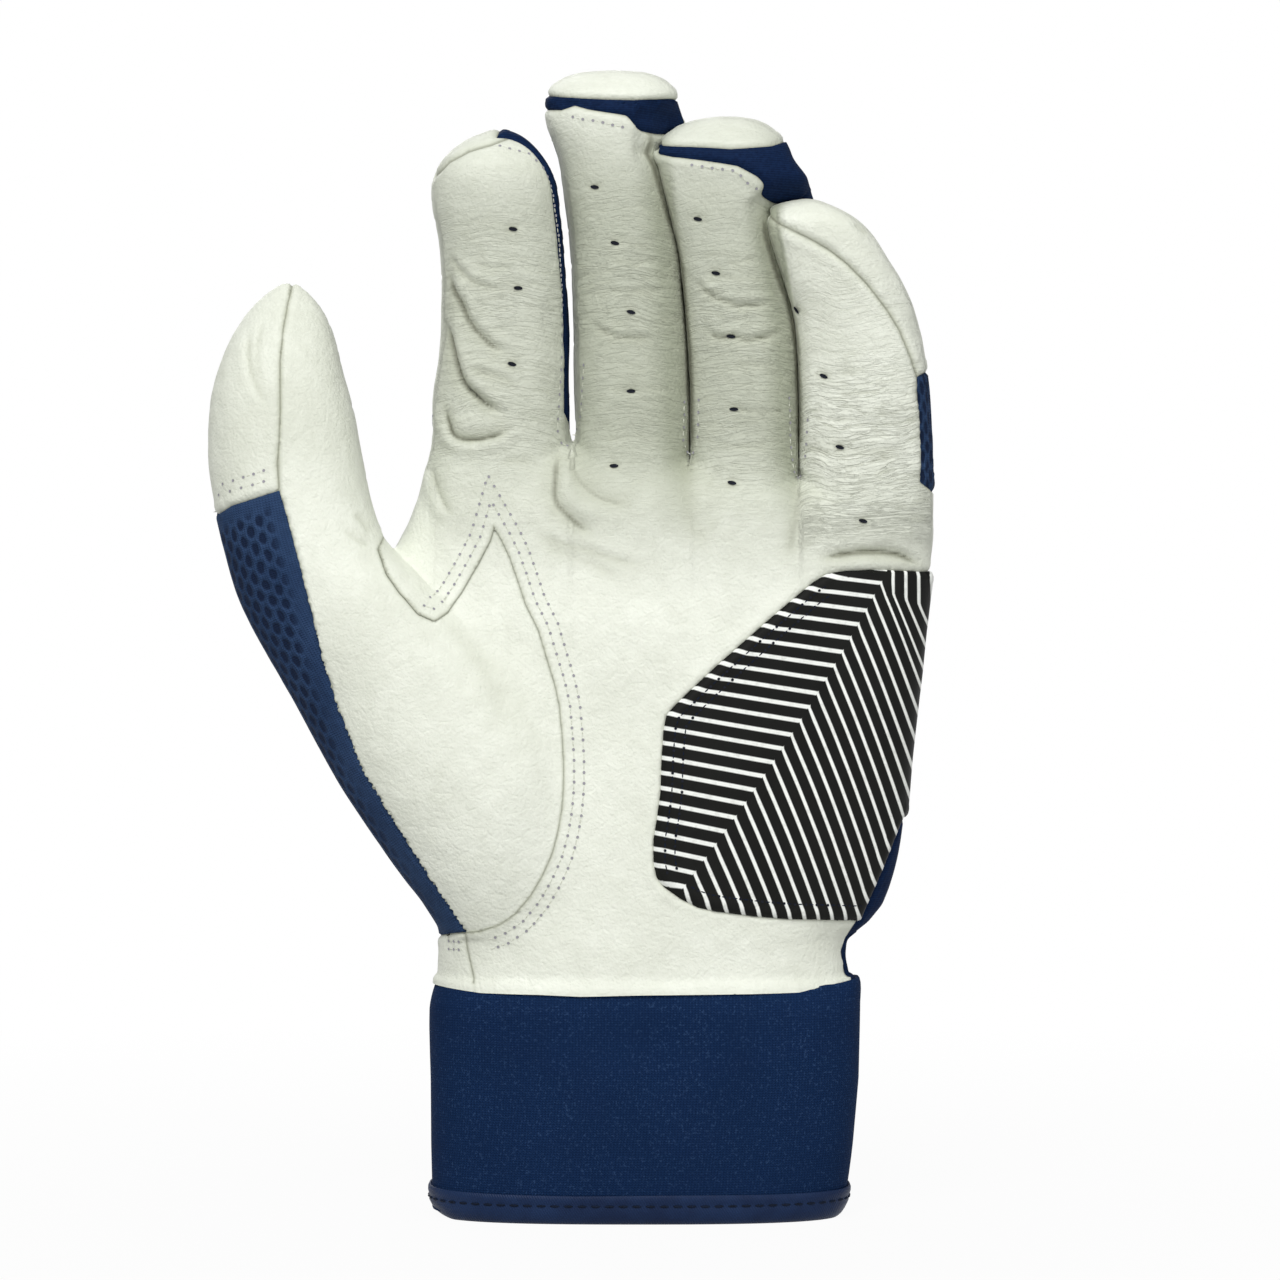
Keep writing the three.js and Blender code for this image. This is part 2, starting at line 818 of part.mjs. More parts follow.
// Everything in front of the finger's side seam line, which turns to the front with a gusset
// that runs over the tip
function frontOfFinger(form, gap) {
  const z = (share) => form.rootZ + share * form.length;
  const band = tipBandShares[form.name];
  const shares = [...seamHeightShares, band ? band.turn : 1];
  const seam = shares.map((share) => [midDepth(form, share) + gap, z(share)]);
  if (band) {
    seam.push([midDepth(form, band.turn) - form.depth, z((band.lower + band.upper) / 2)]);
  } else {
    seam.push([midDepth(form, 1) + gap, z(1) + overrun], [-reach, z(1) + overrun]);
  }
  seam.push([-reach, z(seamHeightShares[0])]);
  return prismAlongX(seam, form.centreX - form.width, form.centreX + form.width);
}

// Fold sleeve and tip panels of one finger
function addFinger(form) {
  const clear = seamGap / form.length;
  const sleeve = tube(form, foldBottom(form) + clear, foldTop(form) - clear);
  addPiece(`${form.name}_crease`, sleeve, leatherMaterial);

  let stock = tube(form, foldTop(form), null);
  const sideFrom = form.name === "index" ? form.centreX : form.centreX - form.width;
  const sideTo = form.name === "little" ? form.centreX : form.centreX + form.width;
  const gusset = splitOff(stock, (gap) =>
    prismAlongX(
      gussetOutline(form, gap),
      sideFrom - gap * (form.name === "index" ? 1 : 0),
      sideTo + gap * (form.name === "little" ? 1 : 0),
    ),
  );
  stock = gusset.rest;
  addPiece(`${form.name}_tip_gusset`, gusset.piece, navyStretchMaterial);

  const front = splitOff(stock, (gap) => {
    const ahead = frontOfFinger(form, gap);
    if (form.name !== "little") return ahead;
    const seam = formOutline(form, littleSeamShares);
    const [top, bottom] = [seam[0], seam[seam.length - 1]];
    const outline = [...seam, [-reach, bottom[1]], [-reach, top[1]]];
    return ahead.intersect(prismAlongY(offsetOutline(outline, gap), -reach, reach));
  });
  addPiece(`${form.name}_front_tip`, front.piece, leatherMaterial);
  addPiece(`${form.name}_back_cap`, front.rest, leatherMaterial);
}

function addThumb() {
  const clear = seamGap / thumb.length;
  const sleeve = tube(thumb, foldBottom(thumb) + clear, foldTop(thumb) - clear);
  addPiece("thumb_crease", sleeve, leatherMaterial);

  const seam = formOutline(thumb, thumbSeamShares);
  const [topPoint, bottomPoint] = [seam[0], seam[seam.length - 1]];
  const outline = [...seam, [-reach, bottomPoint[1]], [-reach, topPoint[1]]];
  const split = splitOff(tube(thumb, foldTop(thumb), null), (gap) =>
    prismAlongY(offsetOutline(outline, gap), -reach, reach),
  );
  addPiece("thumb_back_cap", split.piece, leatherMaterial);
  addPiece("thumb_front_tip", split.rest, leatherMaterial);
}

addHand();
addHeelPatch();
addSlitBinding();
addCuff();
addStrap();
fingers.forEach(addFinger);
addThumb();

export default glove;
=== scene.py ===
import itertools
import math

import bpy
import numpy as np
from mathutils import Matrix, Vector
from mathutils.bvhtree import BVHTree
from mathutils.kdtree import KDTree


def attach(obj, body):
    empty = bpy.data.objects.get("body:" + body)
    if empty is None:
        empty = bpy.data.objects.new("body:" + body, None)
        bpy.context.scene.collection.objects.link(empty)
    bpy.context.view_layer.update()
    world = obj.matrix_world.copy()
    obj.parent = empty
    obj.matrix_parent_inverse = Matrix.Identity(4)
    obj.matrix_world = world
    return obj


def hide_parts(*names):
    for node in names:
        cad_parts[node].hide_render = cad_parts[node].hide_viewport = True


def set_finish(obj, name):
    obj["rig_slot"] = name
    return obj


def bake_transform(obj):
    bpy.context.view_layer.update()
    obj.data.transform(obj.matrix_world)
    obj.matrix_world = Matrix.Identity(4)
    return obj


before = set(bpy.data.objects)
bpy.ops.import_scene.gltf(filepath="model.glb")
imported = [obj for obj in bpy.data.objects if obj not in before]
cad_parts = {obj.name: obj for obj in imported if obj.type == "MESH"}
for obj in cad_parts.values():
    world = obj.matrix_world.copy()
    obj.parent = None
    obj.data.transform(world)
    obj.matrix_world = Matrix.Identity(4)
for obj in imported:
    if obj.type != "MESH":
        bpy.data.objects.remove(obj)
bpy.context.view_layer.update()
scene = bpy.context.scene
print("frame loaded")

# Camera: lengths in mm, pixels are those of the 1280 x 1280 picture
camera = {"distance": 800, "plane": 790, "x": 13.8, "z": 115.8, "pixel": 0.2, "centre": 640}


def toPicture(points):
    # where points (mm) land in the picture
    scale = camera["plane"] / (camera["distance"] + points[:, 1]) / camera["pixel"]
    across = camera["centre"] + (points[:, 0] - camera["x"]) * scale
    down = camera["centre"] - (points[:, 2] - camera["z"]) * scale
    return across, down


bpy.ops.object.camera_add(location=(camera["x"] / 1000, -camera["distance"] / 1000, camera["z"] / 1000))
cameraObject = bpy.context.object
cameraObject.rotation_euler = (math.radians(90), 0, 0)
cameraObject.data.sensor_width = 36
cameraObject.data.lens = 36 * camera["plane"] / 256
cameraObject.data.clip_end = 20
scene.camera = cameraObject

# The forms inside the glove: rows are height, left, right, front, back
palmForm = {
    "name": "palm", "rootZ": 46, "length": 104, "width": 101, "depth": 36, "centreX": 0, "power": 2.6,
    "top": 1.032, "dome": 0.09, "domePower": 2, "from": -0.04,
    "rows": [
        [0, -0.269, 0.56, -0.5, 0.5], [0.09, -0.265, 0.55, -0.5, 0.5], [0.131, -0.268, 0.602, -0.5, 0.5],
        [0.17, -0.27, 0.628, -0.5, 0.5], [0.27, -0.28, 0.653, -0.5, 0.5], [0.44, -0.31, 0.668, -0.48, 0.5],
        [0.67, -0.385, 0.694, -0.45, 0.47], [0.77, -0.385, 0.706, -0.43, 0.44],
        [0.845, -0.352, 0.713, -0.4, 0.4],
        [0.885, -0.322, 0.716, -0.385, 0.38], [0.98, -0.287, 0.716, -0.345, 0.34],
        [1.032, -0.28, 0.71, -0.33, 0.325],
    ],
    "slopes": [[0, 0], [0.8, 0], [0.9, -0.06], [1.032, -0.15]],
}
thumbForm = {
    "name": "thumb", "rootZ": 56.4, "length": 131, "width": 32, "depth": 26, "centreX": 0, "power": 2.2,
    "top": 1, "dome": 0.21, "domePower": 1.8, "from": 0,
    "rows": [
        [0, -0.81, -0.125, -0.58, 0.46], [0.053, -0.944, 0.06, -0.7, 0.5], [0.089, -1.06, 0.125, -0.76, 0.5],
        [0.226, -1.44, 0.06, -0.88, 0.46], [0.363, -1.75, -0.19, -0.9, 0.42],
        [0.5, -2.06, -0.69, -0.88, 0.35], [0.593, -2.18, -1.125, -0.85, 0.27],
        [0.653, -2.23, -1.244, -0.81, 0.23], [0.714, -2.27, -1.3, -0.77, 0.23],
        [0.806, -2.272, -1.37, -0.73, 0.23], [0.867, -2.256, -1.4, -0.71, 0.21],
        [1, -2.2, -1.35, -0.66, 0.16],
    ],
}
fingerForms = [
    {
        "name": "index", "rootZ": 140, "length": 78.4, "width": 27, "depth": 23,
        "centreX": -13.4, "power": 2.3, "top": 1, "dome": 0.16, "domePower": 1.9,
        "from": 0, "hinge": 176, "capZ": 188,
        "rows": [
            [0, -0.67, 0.474, -0.5, 0.5], [0.1, -0.63, 0.478, -0.5, 0.49], [0.2, -0.556, 0.478, -0.5, 0.48],
            [0.31, -0.545, 0.478, -0.52, 0.46], [0.485, -0.474, 0.472, -0.56, 0.42],
            [0.69, -0.481, 0.44, -0.67, 0.28], [0.816, -0.54, 0.407, -0.76, 0.16],
            [0.918, -0.53, 0.37, -0.79, 0.1], [1, -0.42, 0.35, -0.66, 0.08],
        ],
    },
    {
        "name": "middle", "rootZ": 140, "length": 90, "width": 23.5, "depth": 23,
        "centreX": 12.2, "power": 2.3, "top": 1, "dome": 0.1, "domePower": 3,
        "from": 0, "hinge": 180, "capZ": 192,
        "rows": [
            [0, -0.485, 0.485, -0.5, 0.5], [0.178, -0.477, 0.481, -0.5, 0.48],
            [0.267, -0.485, 0.477, -0.52, 0.46], [0.467, -0.502, 0.434, -0.57, 0.4],
            [0.6, -0.528, 0.383, -0.63, 0.32], [0.733, -0.587, 0.332, -0.71, 0.22],
            [0.822, -0.645, 0.315, -0.77, 0.16], [0.871, -0.72, 0.353, -0.79, 0.12],
            [0.933, -0.75, 0.405, -0.76, 0.1], [1, -0.74, 0.4, -0.6, 0.08],
        ],
    },
    {
        "name": "ring", "rootZ": 140, "length": 80.8, "width": 21.2, "depth": 22.5,
        "centreX": 34.8, "power": 2.3, "top": 1, "dome": 0.12, "domePower": 3,
        "from": 0, "hinge": 174, "capZ": 186,
        "rows": [
            [0, -0.49, 0.49, -0.5, 0.5], [0.173, -0.49, 0.485, -0.5, 0.48], [0.297, -0.49, 0.48, -0.53, 0.46],
            [0.458, -0.519, 0.44, -0.58, 0.4], [0.619, -0.575, 0.345, -0.66, 0.3],
            [0.755, -0.642, 0.3, -0.74, 0.2], [0.817, -0.665, 0.5, -0.78, 0.14],
            [0.891, -0.69, 0.44, -0.8, 0.1], [1, -0.68, 0.32, -0.6, 0.08],
        ],
    },
    {
        "name": "little", "rootZ": 136, "length": 68, "width": 26, "depth": 22, "centreX": 59.2, "power": 2.3,
        "top": 1, "dome": 0.11, "domePower": 4, "from": 0, "hinge": 164, "capZ": 170,
        "rows": [
            [0, -0.47, 0.508, -0.5, 0.5], [0.124, -0.5, 0.508, -0.52, 0.48],
            [0.294, -0.505, 0.5, -0.58, 0.42], [0.485, -0.508, 0.454, -0.66, 0.34],
            [0.676, -0.535, 0.346, -0.74, 0.24], [0.824, -0.6, 0.15, -0.82, 0.1],
            [0.926, -0.655, -0.05, -0.84, 0], [1, -0.65, -0.33, -0.7, -0.06],
        ],
    },
]
growth = {
    "sides": 112, "steps": 30, "domeSteps": 9, "squeeze": 1.3, "squeezeFrom": 151, "squeezeRise": 6,
    "voxel": 0.00058, "smooth": 14, "wristZ": 45.2,
}


def rowValue(rows, share, column):
    # smooth value between table rows
    last = len(rows) - 1
    i = 0
    while i < last - 1 and share > rows[i + 1][0]:
        i += 1
    slope = lambda a, b: (rows[b][column] - rows[a][column]) / (rows[b][0] - rows[a][0])
    span = rows[i + 1][0] - rows[i][0]
    t = min(1, max(0, (share - rows[i][0]) / span))
    first = slope(max(0, i - 1), i + 1)
    second = slope(i, min(last, i + 2))
    return (
        rows[i][column] * ((2 * t - 3) * t * t + 1)
        + rows[i + 1][column] * (3 - 2 * t) * t * t
        + first * span * ((t - 2) * t + 1) * t
        + second * span * (t - 1) * t * t
    )


def squeezeAt(form, z):
    # fingers are held apart while their skin is one mesh
    if form["name"] in ("palm", "thumb"):
        return 0
    t = min(1, max(0, (z - growth["squeezeFrom"]) / growth["squeezeRise"]))
    return growth["squeeze"] * t * t * (3 - 2 * t)


def sectionAt(form, share):
    left, right = (rowValue(form["rows"], share, c) * form["width"] for c in (1, 2))
    front, back = (rowValue(form["rows"], share, c) * form["depth"] for c in (3, 4))
    t = max(0, 1 + (share - form["top"]) / form["dome"])
    shrink = max(0.02, 1 - t ** form["domePower"]) ** (1 / form["domePower"]) if t else 1
    z = form["rootZ"] + share * form["length"]
    return {
        "x": form["centreX"] + (left + right) / 2, "y": (front + back) / 2, "z": z,
        "width": ((right - left) / 2 - squeezeAt(form, z)) * shrink, "depth": (back - front) / 2 * shrink,
    }


def growForm(form):
    # one rounded ring, extruded ring by ring up to the tip
    start = form["top"] - form["dome"]
    shares = list(np.linspace(form["from"], start, growth["steps"], endpoint=False))
    quarter = np.linspace(0, math.pi / 2, growth["domeSteps"] + 1)
    shares += [start + form["dome"] * math.sin(turn) for turn in quarter]
    stack = [sectionAt(form, share) for share in shares]
    bpy.ops.object.select_all(action="DESELECT")
    bpy.ops.mesh.primitive_circle_add(
        vertices=growth["sides"], radius=1, fill_type="NGON", location=(0, 0, 0)
    )
    ob = bpy.context.object
    ob.name = form["name"] + "Form"
    first = stack[0]
    for v in ob.data.vertices:
        c, s = v.co.x, v.co.y
        v.co.x = math.copysign(abs(c) ** (2 / form["power"]), c) * first["width"] / 1000 + first["x"] / 1000
        v.co.y = math.copysign(abs(s) ** (2 / form["power"]), s) * first["depth"] / 1000 + first["y"] / 1000
        v.co.z = first["z"] / 1000
    bpy.ops.object.mode_set(mode="EDIT")
    bpy.ops.mesh.select_all(action="SELECT")
    for below, ring in zip(stack, stack[1:]):
        move = [(ring[axis] - below[axis]) / 1000 for axis in "xyz"]
        bpy.ops.mesh.extrude_region_move(TRANSFORM_OT_translate={"value": move})
        bpy.ops.transform.resize(
            value=(ring["width"] / below["width"], ring["depth"] / below["depth"], 1),
            center_override=[ring[axis] / 1000 for axis in "xyz"],
        )
    bpy.ops.mesh.select_all(action="SELECT")
    bpy.ops.mesh.normals_make_consistent(inside=False)
    bpy.ops.object.mode_set(mode="OBJECT")
    if "slopes" in form:
        for v in ob.data.vertices:
            share = (v.co.z * 1000 - form["rootZ"]) / form["length"]
            v.co.z += rowValue(form["slopes"], share, 1) * (v.co.x - sectionAt(form, share)["x"] / 1000)
    return ob


def selectOnly(*objects):
    bpy.ops.object.select_all(action="DESELECT")
    for ob in objects:
        ob.select_set(True)
    bpy.context.view_layer.objects.active = objects[0]


def applyModifier(ob, kind, **values):
    selectOnly(ob)
    modifier = ob.modifiers.new(kind, kind)
    for name, value in values.items():
        setattr(modifier, name, value)
    bpy.ops.object.modifier_apply(modifier=modifier.name)


grown = [growForm(form) for form in [palmForm, thumbForm] + fingerForms]
selectOnly(*grown)
bpy.ops.object.join()
hand = bpy.context.object
hand.name = "handSkin"
hand.data.remesh_voxel_size = growth["voxel"]
hand.data.remesh_voxel_adaptivity = 0
bpy.ops.object.voxel_remesh()
applyModifier(hand, "SMOOTH", factor=0.5, iterations=growth["smooth"])
bpy.ops.object.mode_set(mode="EDIT")
bpy.ops.mesh.select_all(action="SELECT")
bpy.ops.mesh.bisect(plane_co=(0, 0, growth["wristZ"] / 1000), plane_no=(0, 0, 1), clear_inner=True)
bpy.ops.object.mode_set(mode="OBJECT")
print("hand skin grown:", len(hand.data.vertices), "points")

# Tables of each form against height, for finding a point's place on a finger
heights = np.linspace(40, 235, 391)


def formTable(form):
    low, high = form["rows"][0][0], form["rows"][-1][0]
    shares = [min(high, max(low, share)) for share in (heights - form["rootZ"]) / form["length"]]
    rows = np.array([[rowValue(form["rows"], share, c) for c in (1, 2, 3, 4)] for share in shares])
    sections = [sectionAt(form, share) for share in shares]
    free = np.array([squeezeAt(form, section["z"]) for section in sections])
    middle, half = (np.array([section[k] for section in sections]) for k in ("x", "width"))
    return {
        "tightLeft": middle - half - free, "tightRight": middle + half + free,
        "left": form["centreX"] + rows[:, 0] * form["width"],
        "right": form["centreX"] + rows[:, 1] * form["width"],
        "front": rows[:, 2] * form["depth"], "back": rows[:, 3] * form["depth"],
        "squeeze": np.array([squeezeAt(form, z) for z in heights]),
    }


fingerTables = [formTable(form) for form in fingerForms]
thumbTable = formTable(thumbForm)
crotch = {"x": -37, "z": 134, "webZ": 146}
fingerNames = [form["name"] for form in fingerForms]


def atHeight(table, column, z):
    return np.interp(z, heights, table[column])


def fingerOf(points):
    # 0 to 3 above the webs, -1 elsewhere
    x, z = points[:, 0], points[:, 2]
    number = np.zeros(len(points), int)
    for i in range(3):
        sides = atHeight(fingerTables[i], "tightRight", z), atHeight(fingerTables[i + 1], "tightLeft", z)
        between = sum(sides) / 2
        tops = [fingerForms[k]["rootZ"] + fingerForms[k]["length"] for k in (i, i + 1)]
        number += x > np.where(z > tops[1], 99, np.where(z > tops[0], -99, between))
    number[(z < crotch["webZ"]) | (x < crotch["x"])] = -1
    return number


def pick(number, column, z):
    # the finger tables' values at each point
    value = np.zeros(len(z))
    for i, table in enumerate(fingerTables):
        chosen = number == i
        value[chosen] = atHeight(table, column, z[chosen])
    return value


def readPoints(ob):
    flat = np.empty(len(ob.data.vertices) * 3)
    ob.data.vertices.foreach_get("co", flat)
    return flat.reshape(-1, 3) * 1000


def writePoints(ob, points):
    ob.data.vertices.foreach_set("co", (points / 1000).astype(np.float32).ravel())
    ob.data.update()


def readNormals(ob):
    flat = np.empty(len(ob.data.vertices) * 3)
    ob.data.vertex_normals.foreach_get("vector", flat)
    return flat.reshape(-1, 3)


def ramp(low, high, value):
    t = np.clip((value - low) / (high - low), 0, 1)
    return t * t * (3 - 2 * t)


# the fingers get their full width back
points = readPoints(hand)
number = fingerOf(points)
onFinger = number >= 0
z = points[:, 2]
middleX = (pick(number, "left", z) + pick(number, "right", z)) / 2
half = (pick(number, "right", z) - pick(number, "left", z)) / 2
squeeze = pick(number, "squeeze", z)
scaleX = np.where(onFinger, half / np.maximum(half - squeeze, 1), 1)
points[:, 0] = np.where(onFinger, middleX + (points[:, 0] - middleX) * scaleX, points[:, 0])
writePoints(hand, points)

# Seams, drawn on the picture in pixels
outlines = {
    "thenar": [
        (494, 526), (502, 540), (510, 557), (517, 577), (526, 604), (539, 630), (547, 657), (555, 683),
        (560, 706), (563, 741), (564, 761), (564, 786), (562, 810), (558, 833), (552, 855), (543, 875),
        (531, 896), (516, 914), (498, 926), (482, 931), (466, 933), (428, 877), (386, 810), (361, 769),
        (338, 711), (322, 660), (313, 622), (300, 568), (287, 518), (279, 490), (279, 443), (280, 412),
        (280, 362), (283, 329), (288, 300), (293, 270), (400, 270), (400, 500), (378, 550), (386, 574),
        (399, 593), (418, 614), (434, 621), (447, 612), (461, 593), (477, 565), (490, 540),
    ],
    "thumbMesh": [
        (216, 515), (230, 506), (257, 497), (279, 490), (287, 518), (300, 568), (313, 622), (322, 660),
        (338, 711), (361, 769), (386, 810), (428, 877), (466, 933), (440, 935), (120, 935), (120, 515),
    ],
    "thumbCap": [
        (293, 250), (293, 281), (288, 300), (283, 329), (280, 362), (280, 412), (279, 443), (277, 464),
        (279, 490), (257, 497), (230, 506), (216, 515), (120, 515), (120, 250),
    ],
    "wristSide": [(380, 933), (466, 933), (468, 948), (471, 963), (475, 982), (479, 1010), (380, 1010)],
    "wristGusset": [
        (1000, 796), (900, 816), (891, 840), (880, 870), (868, 900), (860, 920), (849, 936), (843, 951),
        (845, 962), (847, 975), (849, 1010), (1000, 1010),
    ],
    "heelPatch": [
        (825, 575), (843, 572), (873, 571), (921, 573), (960, 567), (980, 640), (980, 800), (900, 816),
        (891, 840), (880, 870), (868, 900), (860, 920), (825, 919), (790, 918), (755, 915), (715, 910),
        (698, 906), (682, 898), (665, 886), (658, 877), (655, 863), (655, 839), (658, 822), (662, 792),
        (663, 761), (665, 731), (668, 715), (682, 700), (720, 664), (769, 620), (811, 584),
    ],
    "middleBand": [
        (500, 94), (545, 95), (594, 98), (658, 100), (720, 100), (720, 138), (668, 134), (658, 131),
        (647, 123), (627, 115), (588, 109), (574, 105), (560, 110), (543, 110), (500, 114),
    ],
    "ringBand": [
        (620, 137), (654, 139), (684, 144), (729, 148), (771, 145), (787, 140), (840, 140), (840, 210),
        (786, 208), (776, 196), (768, 186), (757, 177), (737, 166), (715, 162), (684, 154), (680, 146),
        (672, 151), (658, 151), (620, 155),
    ],
    "indexBand": [
        (511, 134), (515, 110), (600, 110), (600, 440), (568, 438), (562, 400), (561, 300), (560, 230),
        (560, 196), (557, 173), (546, 158), (532, 147), (515, 136),
    ],
    "indexCap": [
        (400, 185), (430, 179), (448, 161), (468, 150), (490, 144), (510, 136), (514, 133), (514, 90),
        (400, 90),
    ],
    "littleCap": [
        (779, 150), (779, 206), (795, 223), (820, 245), (844, 264), (864, 284), (885, 311), (897, 331),
        (905, 351), (914, 377), (923, 372), (1000, 366), (1000, 150),
    ],
    "littleMesh": [
        (914, 377), (915, 396), (918, 425), (919, 455), (918, 482), (930, 492), (934, 500), (1000, 505),
        (1000, 366), (923, 372),
    ],
}
# where the seams run on the sides, in mm; a name ending in Down is a pixel row of the picture
seam = {
    "sideY": 2, "thumbSideY": 2.5, "wristY": -4.5, "wristTop": 62, "meshPastSide": 6, "meshX": -12,
    "gussetFront": 1.1, "gussetBack": 5, "indexFront": -4.6, "indexFrontZ": (157, 161.5), "indexBandZ": 200,
    "tipTurn": {"index": 4, "middle": 4, "ring": 6.4}, "bandZ": {"middle": 216, "ring": 203.5},
    "capDown": {"middle": 104, "ring": 148}, "thumbCapDown": 500, "littleMeshZ": 156, "littleMeshX": 60,
}
farOutside, farInside = -9, 99
splitLine = {"x": [-30, 0.5, 24, 46, 70], "z": [159.5, 158.3, 155.8, 152.4, 151]}
slit = {"x": 14, "half": 5, "topHalf": 1.5, "length": 72, "binding": 3}
gussetBack = {"z": [46, 56.4, 68.9, 80, 84], "x": [45.5, 47.5, 55.6, 63.7, 99]}


def signedDistance(across, down, outline):
    # pixels inside an outline, negative outside
    best = np.full(len(across), 1e9)
    inside = np.zeros(len(across), bool)
    for (ax, ay), (bx, by) in zip(outline, outline[1:] + outline[:1]):
        dx, dy = bx - ax, by - ay
        t = np.clip(((across - ax) * dx + (down - ay) * dy) / (dx * dx + dy * dy), 0, 1)
        best = np.minimum(best, (across - ax - t * dx) ** 2 + (down - ay - t * dy) ** 2)
        if ay != by:
            crosses = ((ay > down) != (by > down)) & (across < dx * (down - ay) / dy + ax)
            inside ^= crosses
    return np.where(inside, 1, -1) * np.sqrt(best)


def locate(points):
    number = fingerOf(points)
    across, down = toPicture(points)
    z = points[:, 2]
    fingerMiddle = (pick(number, "front", z) + pick(number, "back", z)) / 2
    thumbMiddle = (atHeight(thumbTable, "front", z) + atHeight(thumbTable, "back", z)) / 2
    return {
        "x": points[:, 0], "y": points[:, 1], "z": z, "across": across, "down": down, "finger": number,
        "middleY": fingerMiddle, "thumbY": thumbMiddle,
        "centreX": (pick(number, "left", z) + pick(number, "right", z)) / 2,
        "splitZ": np.interp(points[:, 0], splitLine["x"], splitLine["z"]),
        "thumb": (points[:, 0] < crotch["x"]) & (z > crotch["z"]),
    }


def outlined(place, name):
    return signedDistance(place["across"], place["down"], outlines[name]) * camera["pixel"]


def slitInside(place, grown=0):
    half = np.interp(place["z"], [0, slit["length"]], [slit["half"], slit["topHalf"]]) + grown
    top = slit["length"] + grown
    return np.minimum.reduce([half - np.abs(place["x"] - slit["x"]), top - place["z"], place["y"]])


def wristGusset(place):
    onBack = place["x"] - np.interp(place["z"], gussetBack["z"], gussetBack["x"])
    onSide = np.minimum.reduce([place["y"] - seam["wristY"], seam["wristTop"] - place["z"], place["x"]])
    inFront = np.maximum(outlined(place, "wristGusset"), onSide)
    return np.where(place["y"] < seam["sideY"], inFront, onBack)


def fingerGusset(place, i):
    name = fingerNames[i]
    behind = place["y"] - place["middleY"]
    front = seam["gussetFront"]
    if name == "index":
        front = np.interp(place["z"], seam["indexFrontZ"], [seam["gussetFront"], seam["indexFront"]])
    strip = np.minimum(behind - front, seam["gussetBack"] - behind)
    if name == "index":
        strip = np.minimum(strip, place["x"] - place["centreX"])
    if name == "little":
        strip = np.minimum(strip, place["centreX"] - place["x"])
    band = name + "Band"
    if band in outlines:
        ahead = place["middleY"] + seam["tipTurn"][name] - place["y"]
        onTip = np.minimum(outlined(place, band), ahead)
        if name == "index":
            onTip = np.minimum(onTip, place["z"] - seam["indexBandZ"])
        strip = np.maximum(strip, onTip)
    if name in seam["bandZ"]:
        onBand = np.minimum(strip, outlined(place, band))
        strip = np.where(place["z"] > seam["bandZ"][name], onBand, strip)
    return np.where(place["finger"] == i, np.minimum(strip, place["z"] - crotch["webZ"]), farOutside)


def fingerCap(place, i):
    name = fingerNames[i]
    behind = np.minimum(place["y"] - place["middleY"], place["z"] - fingerForms[i]["capZ"])
    if name in seam["capDown"]:
        behind = np.maximum(behind, (seam["capDown"][name] - place["down"]) * camera["pixel"])
    else:
        behind = np.maximum(behind, outlined(place, name + "Cap"))
    return np.where(place["finger"] == i, behind, farOutside)


def fingerBack(place, i):
    behind = np.minimum(place["y"] - place["middleY"], place["z"] - place["splitZ"])
    if fingerNames[i] == "little":
        behind = np.maximum(behind, np.minimum(outlined(place, "littleMesh"), place["z"] - place["splitZ"]))
    return np.where(place["finger"] == i, behind, farOutside)


def tipGusset(place, i):
    return np.minimum(fingerGusset(place, i), place["z"] - place["splitZ"])


def fingerFront(place, i):
    return np.where(place["finger"] == i, place["z"] - place["splitZ"], farOutside)


def thumbZone(place):
    return np.where(place["thumb"], place["thumbY"] + seam["thumbSideY"], seam["sideY"]) - place["y"]


def onPalmSide(place, name):
    return np.minimum(outlined(place, name), seam["sideY"] - place["y"])


def thumbCap(place):
    behind = place["y"] - place["thumbY"] - seam["thumbSideY"]
    above = (seam["thumbCapDown"] - place["down"]) * camera["pixel"]
    inside = np.maximum(outlined(place, "thumbCap"), np.minimum(behind, above))
    return np.where(place["x"] < crotch["x"], inside, farOutside)


def thumbMesh(place):
    front = np.where(place["thumb"], farInside, seam["sideY"] + seam["meshPastSide"] - place["y"])
    behind = np.minimum(place["y"] - place["thumbY"] - seam["thumbSideY"], place["z"] - crotch["z"])
    behind = np.where(place["thumb"], behind, farOutside)
    inside = np.maximum(np.minimum(outlined(place, "thumbMesh"), front), behind)
    return np.where(place["x"] < seam["meshX"], inside, farOutside)


def backMesh(place):
    beside = (place["z"] < seam["littleMeshZ"]) & (place["x"] > seam["littleMeshX"])
    return np.maximum(place["y"] - seam["sideY"], np.where(beside, outlined(place, "littleMesh"), farOutside))


# name, measure inside it (mm), and the CAD nodes it stands for; an earlier one goes before a later one
regions = [
    ("slitOpening", slitInside, []),
    ("slitBinding", lambda p: slitInside(p, slit["binding"]), ["slit_binding"]),
]
regions += [
    (name + "Gusset", lambda p, i=i: tipGusset(p, i), [name + "_tip_gusset"])
    for i, name in enumerate(fingerNames)
]
regions += [(
    "webGussets", lambda p: np.maximum.reduce([fingerGusset(p, i) for i in range(4)]),
    ["index_middle_gusset", "middle_ring_gusset", "ring_little_gusset"],
)]
regions += [
    (name + "Cap", lambda p, i=i: fingerCap(p, i), [name + "_back_cap"]) for i, name in enumerate(fingerNames)
]
regions += [
    (name + "Back", lambda p, i=i: fingerBack(p, i), ["back_mesh", name + "_crease"])
    for i, name in enumerate(fingerNames)
]
regions += [(
    name + "Front", lambda p, i=i: fingerFront(p, i),
    ["palm_leather", name + "_crease", name + "_front_tip"],
) for i, name in enumerate(fingerNames)]
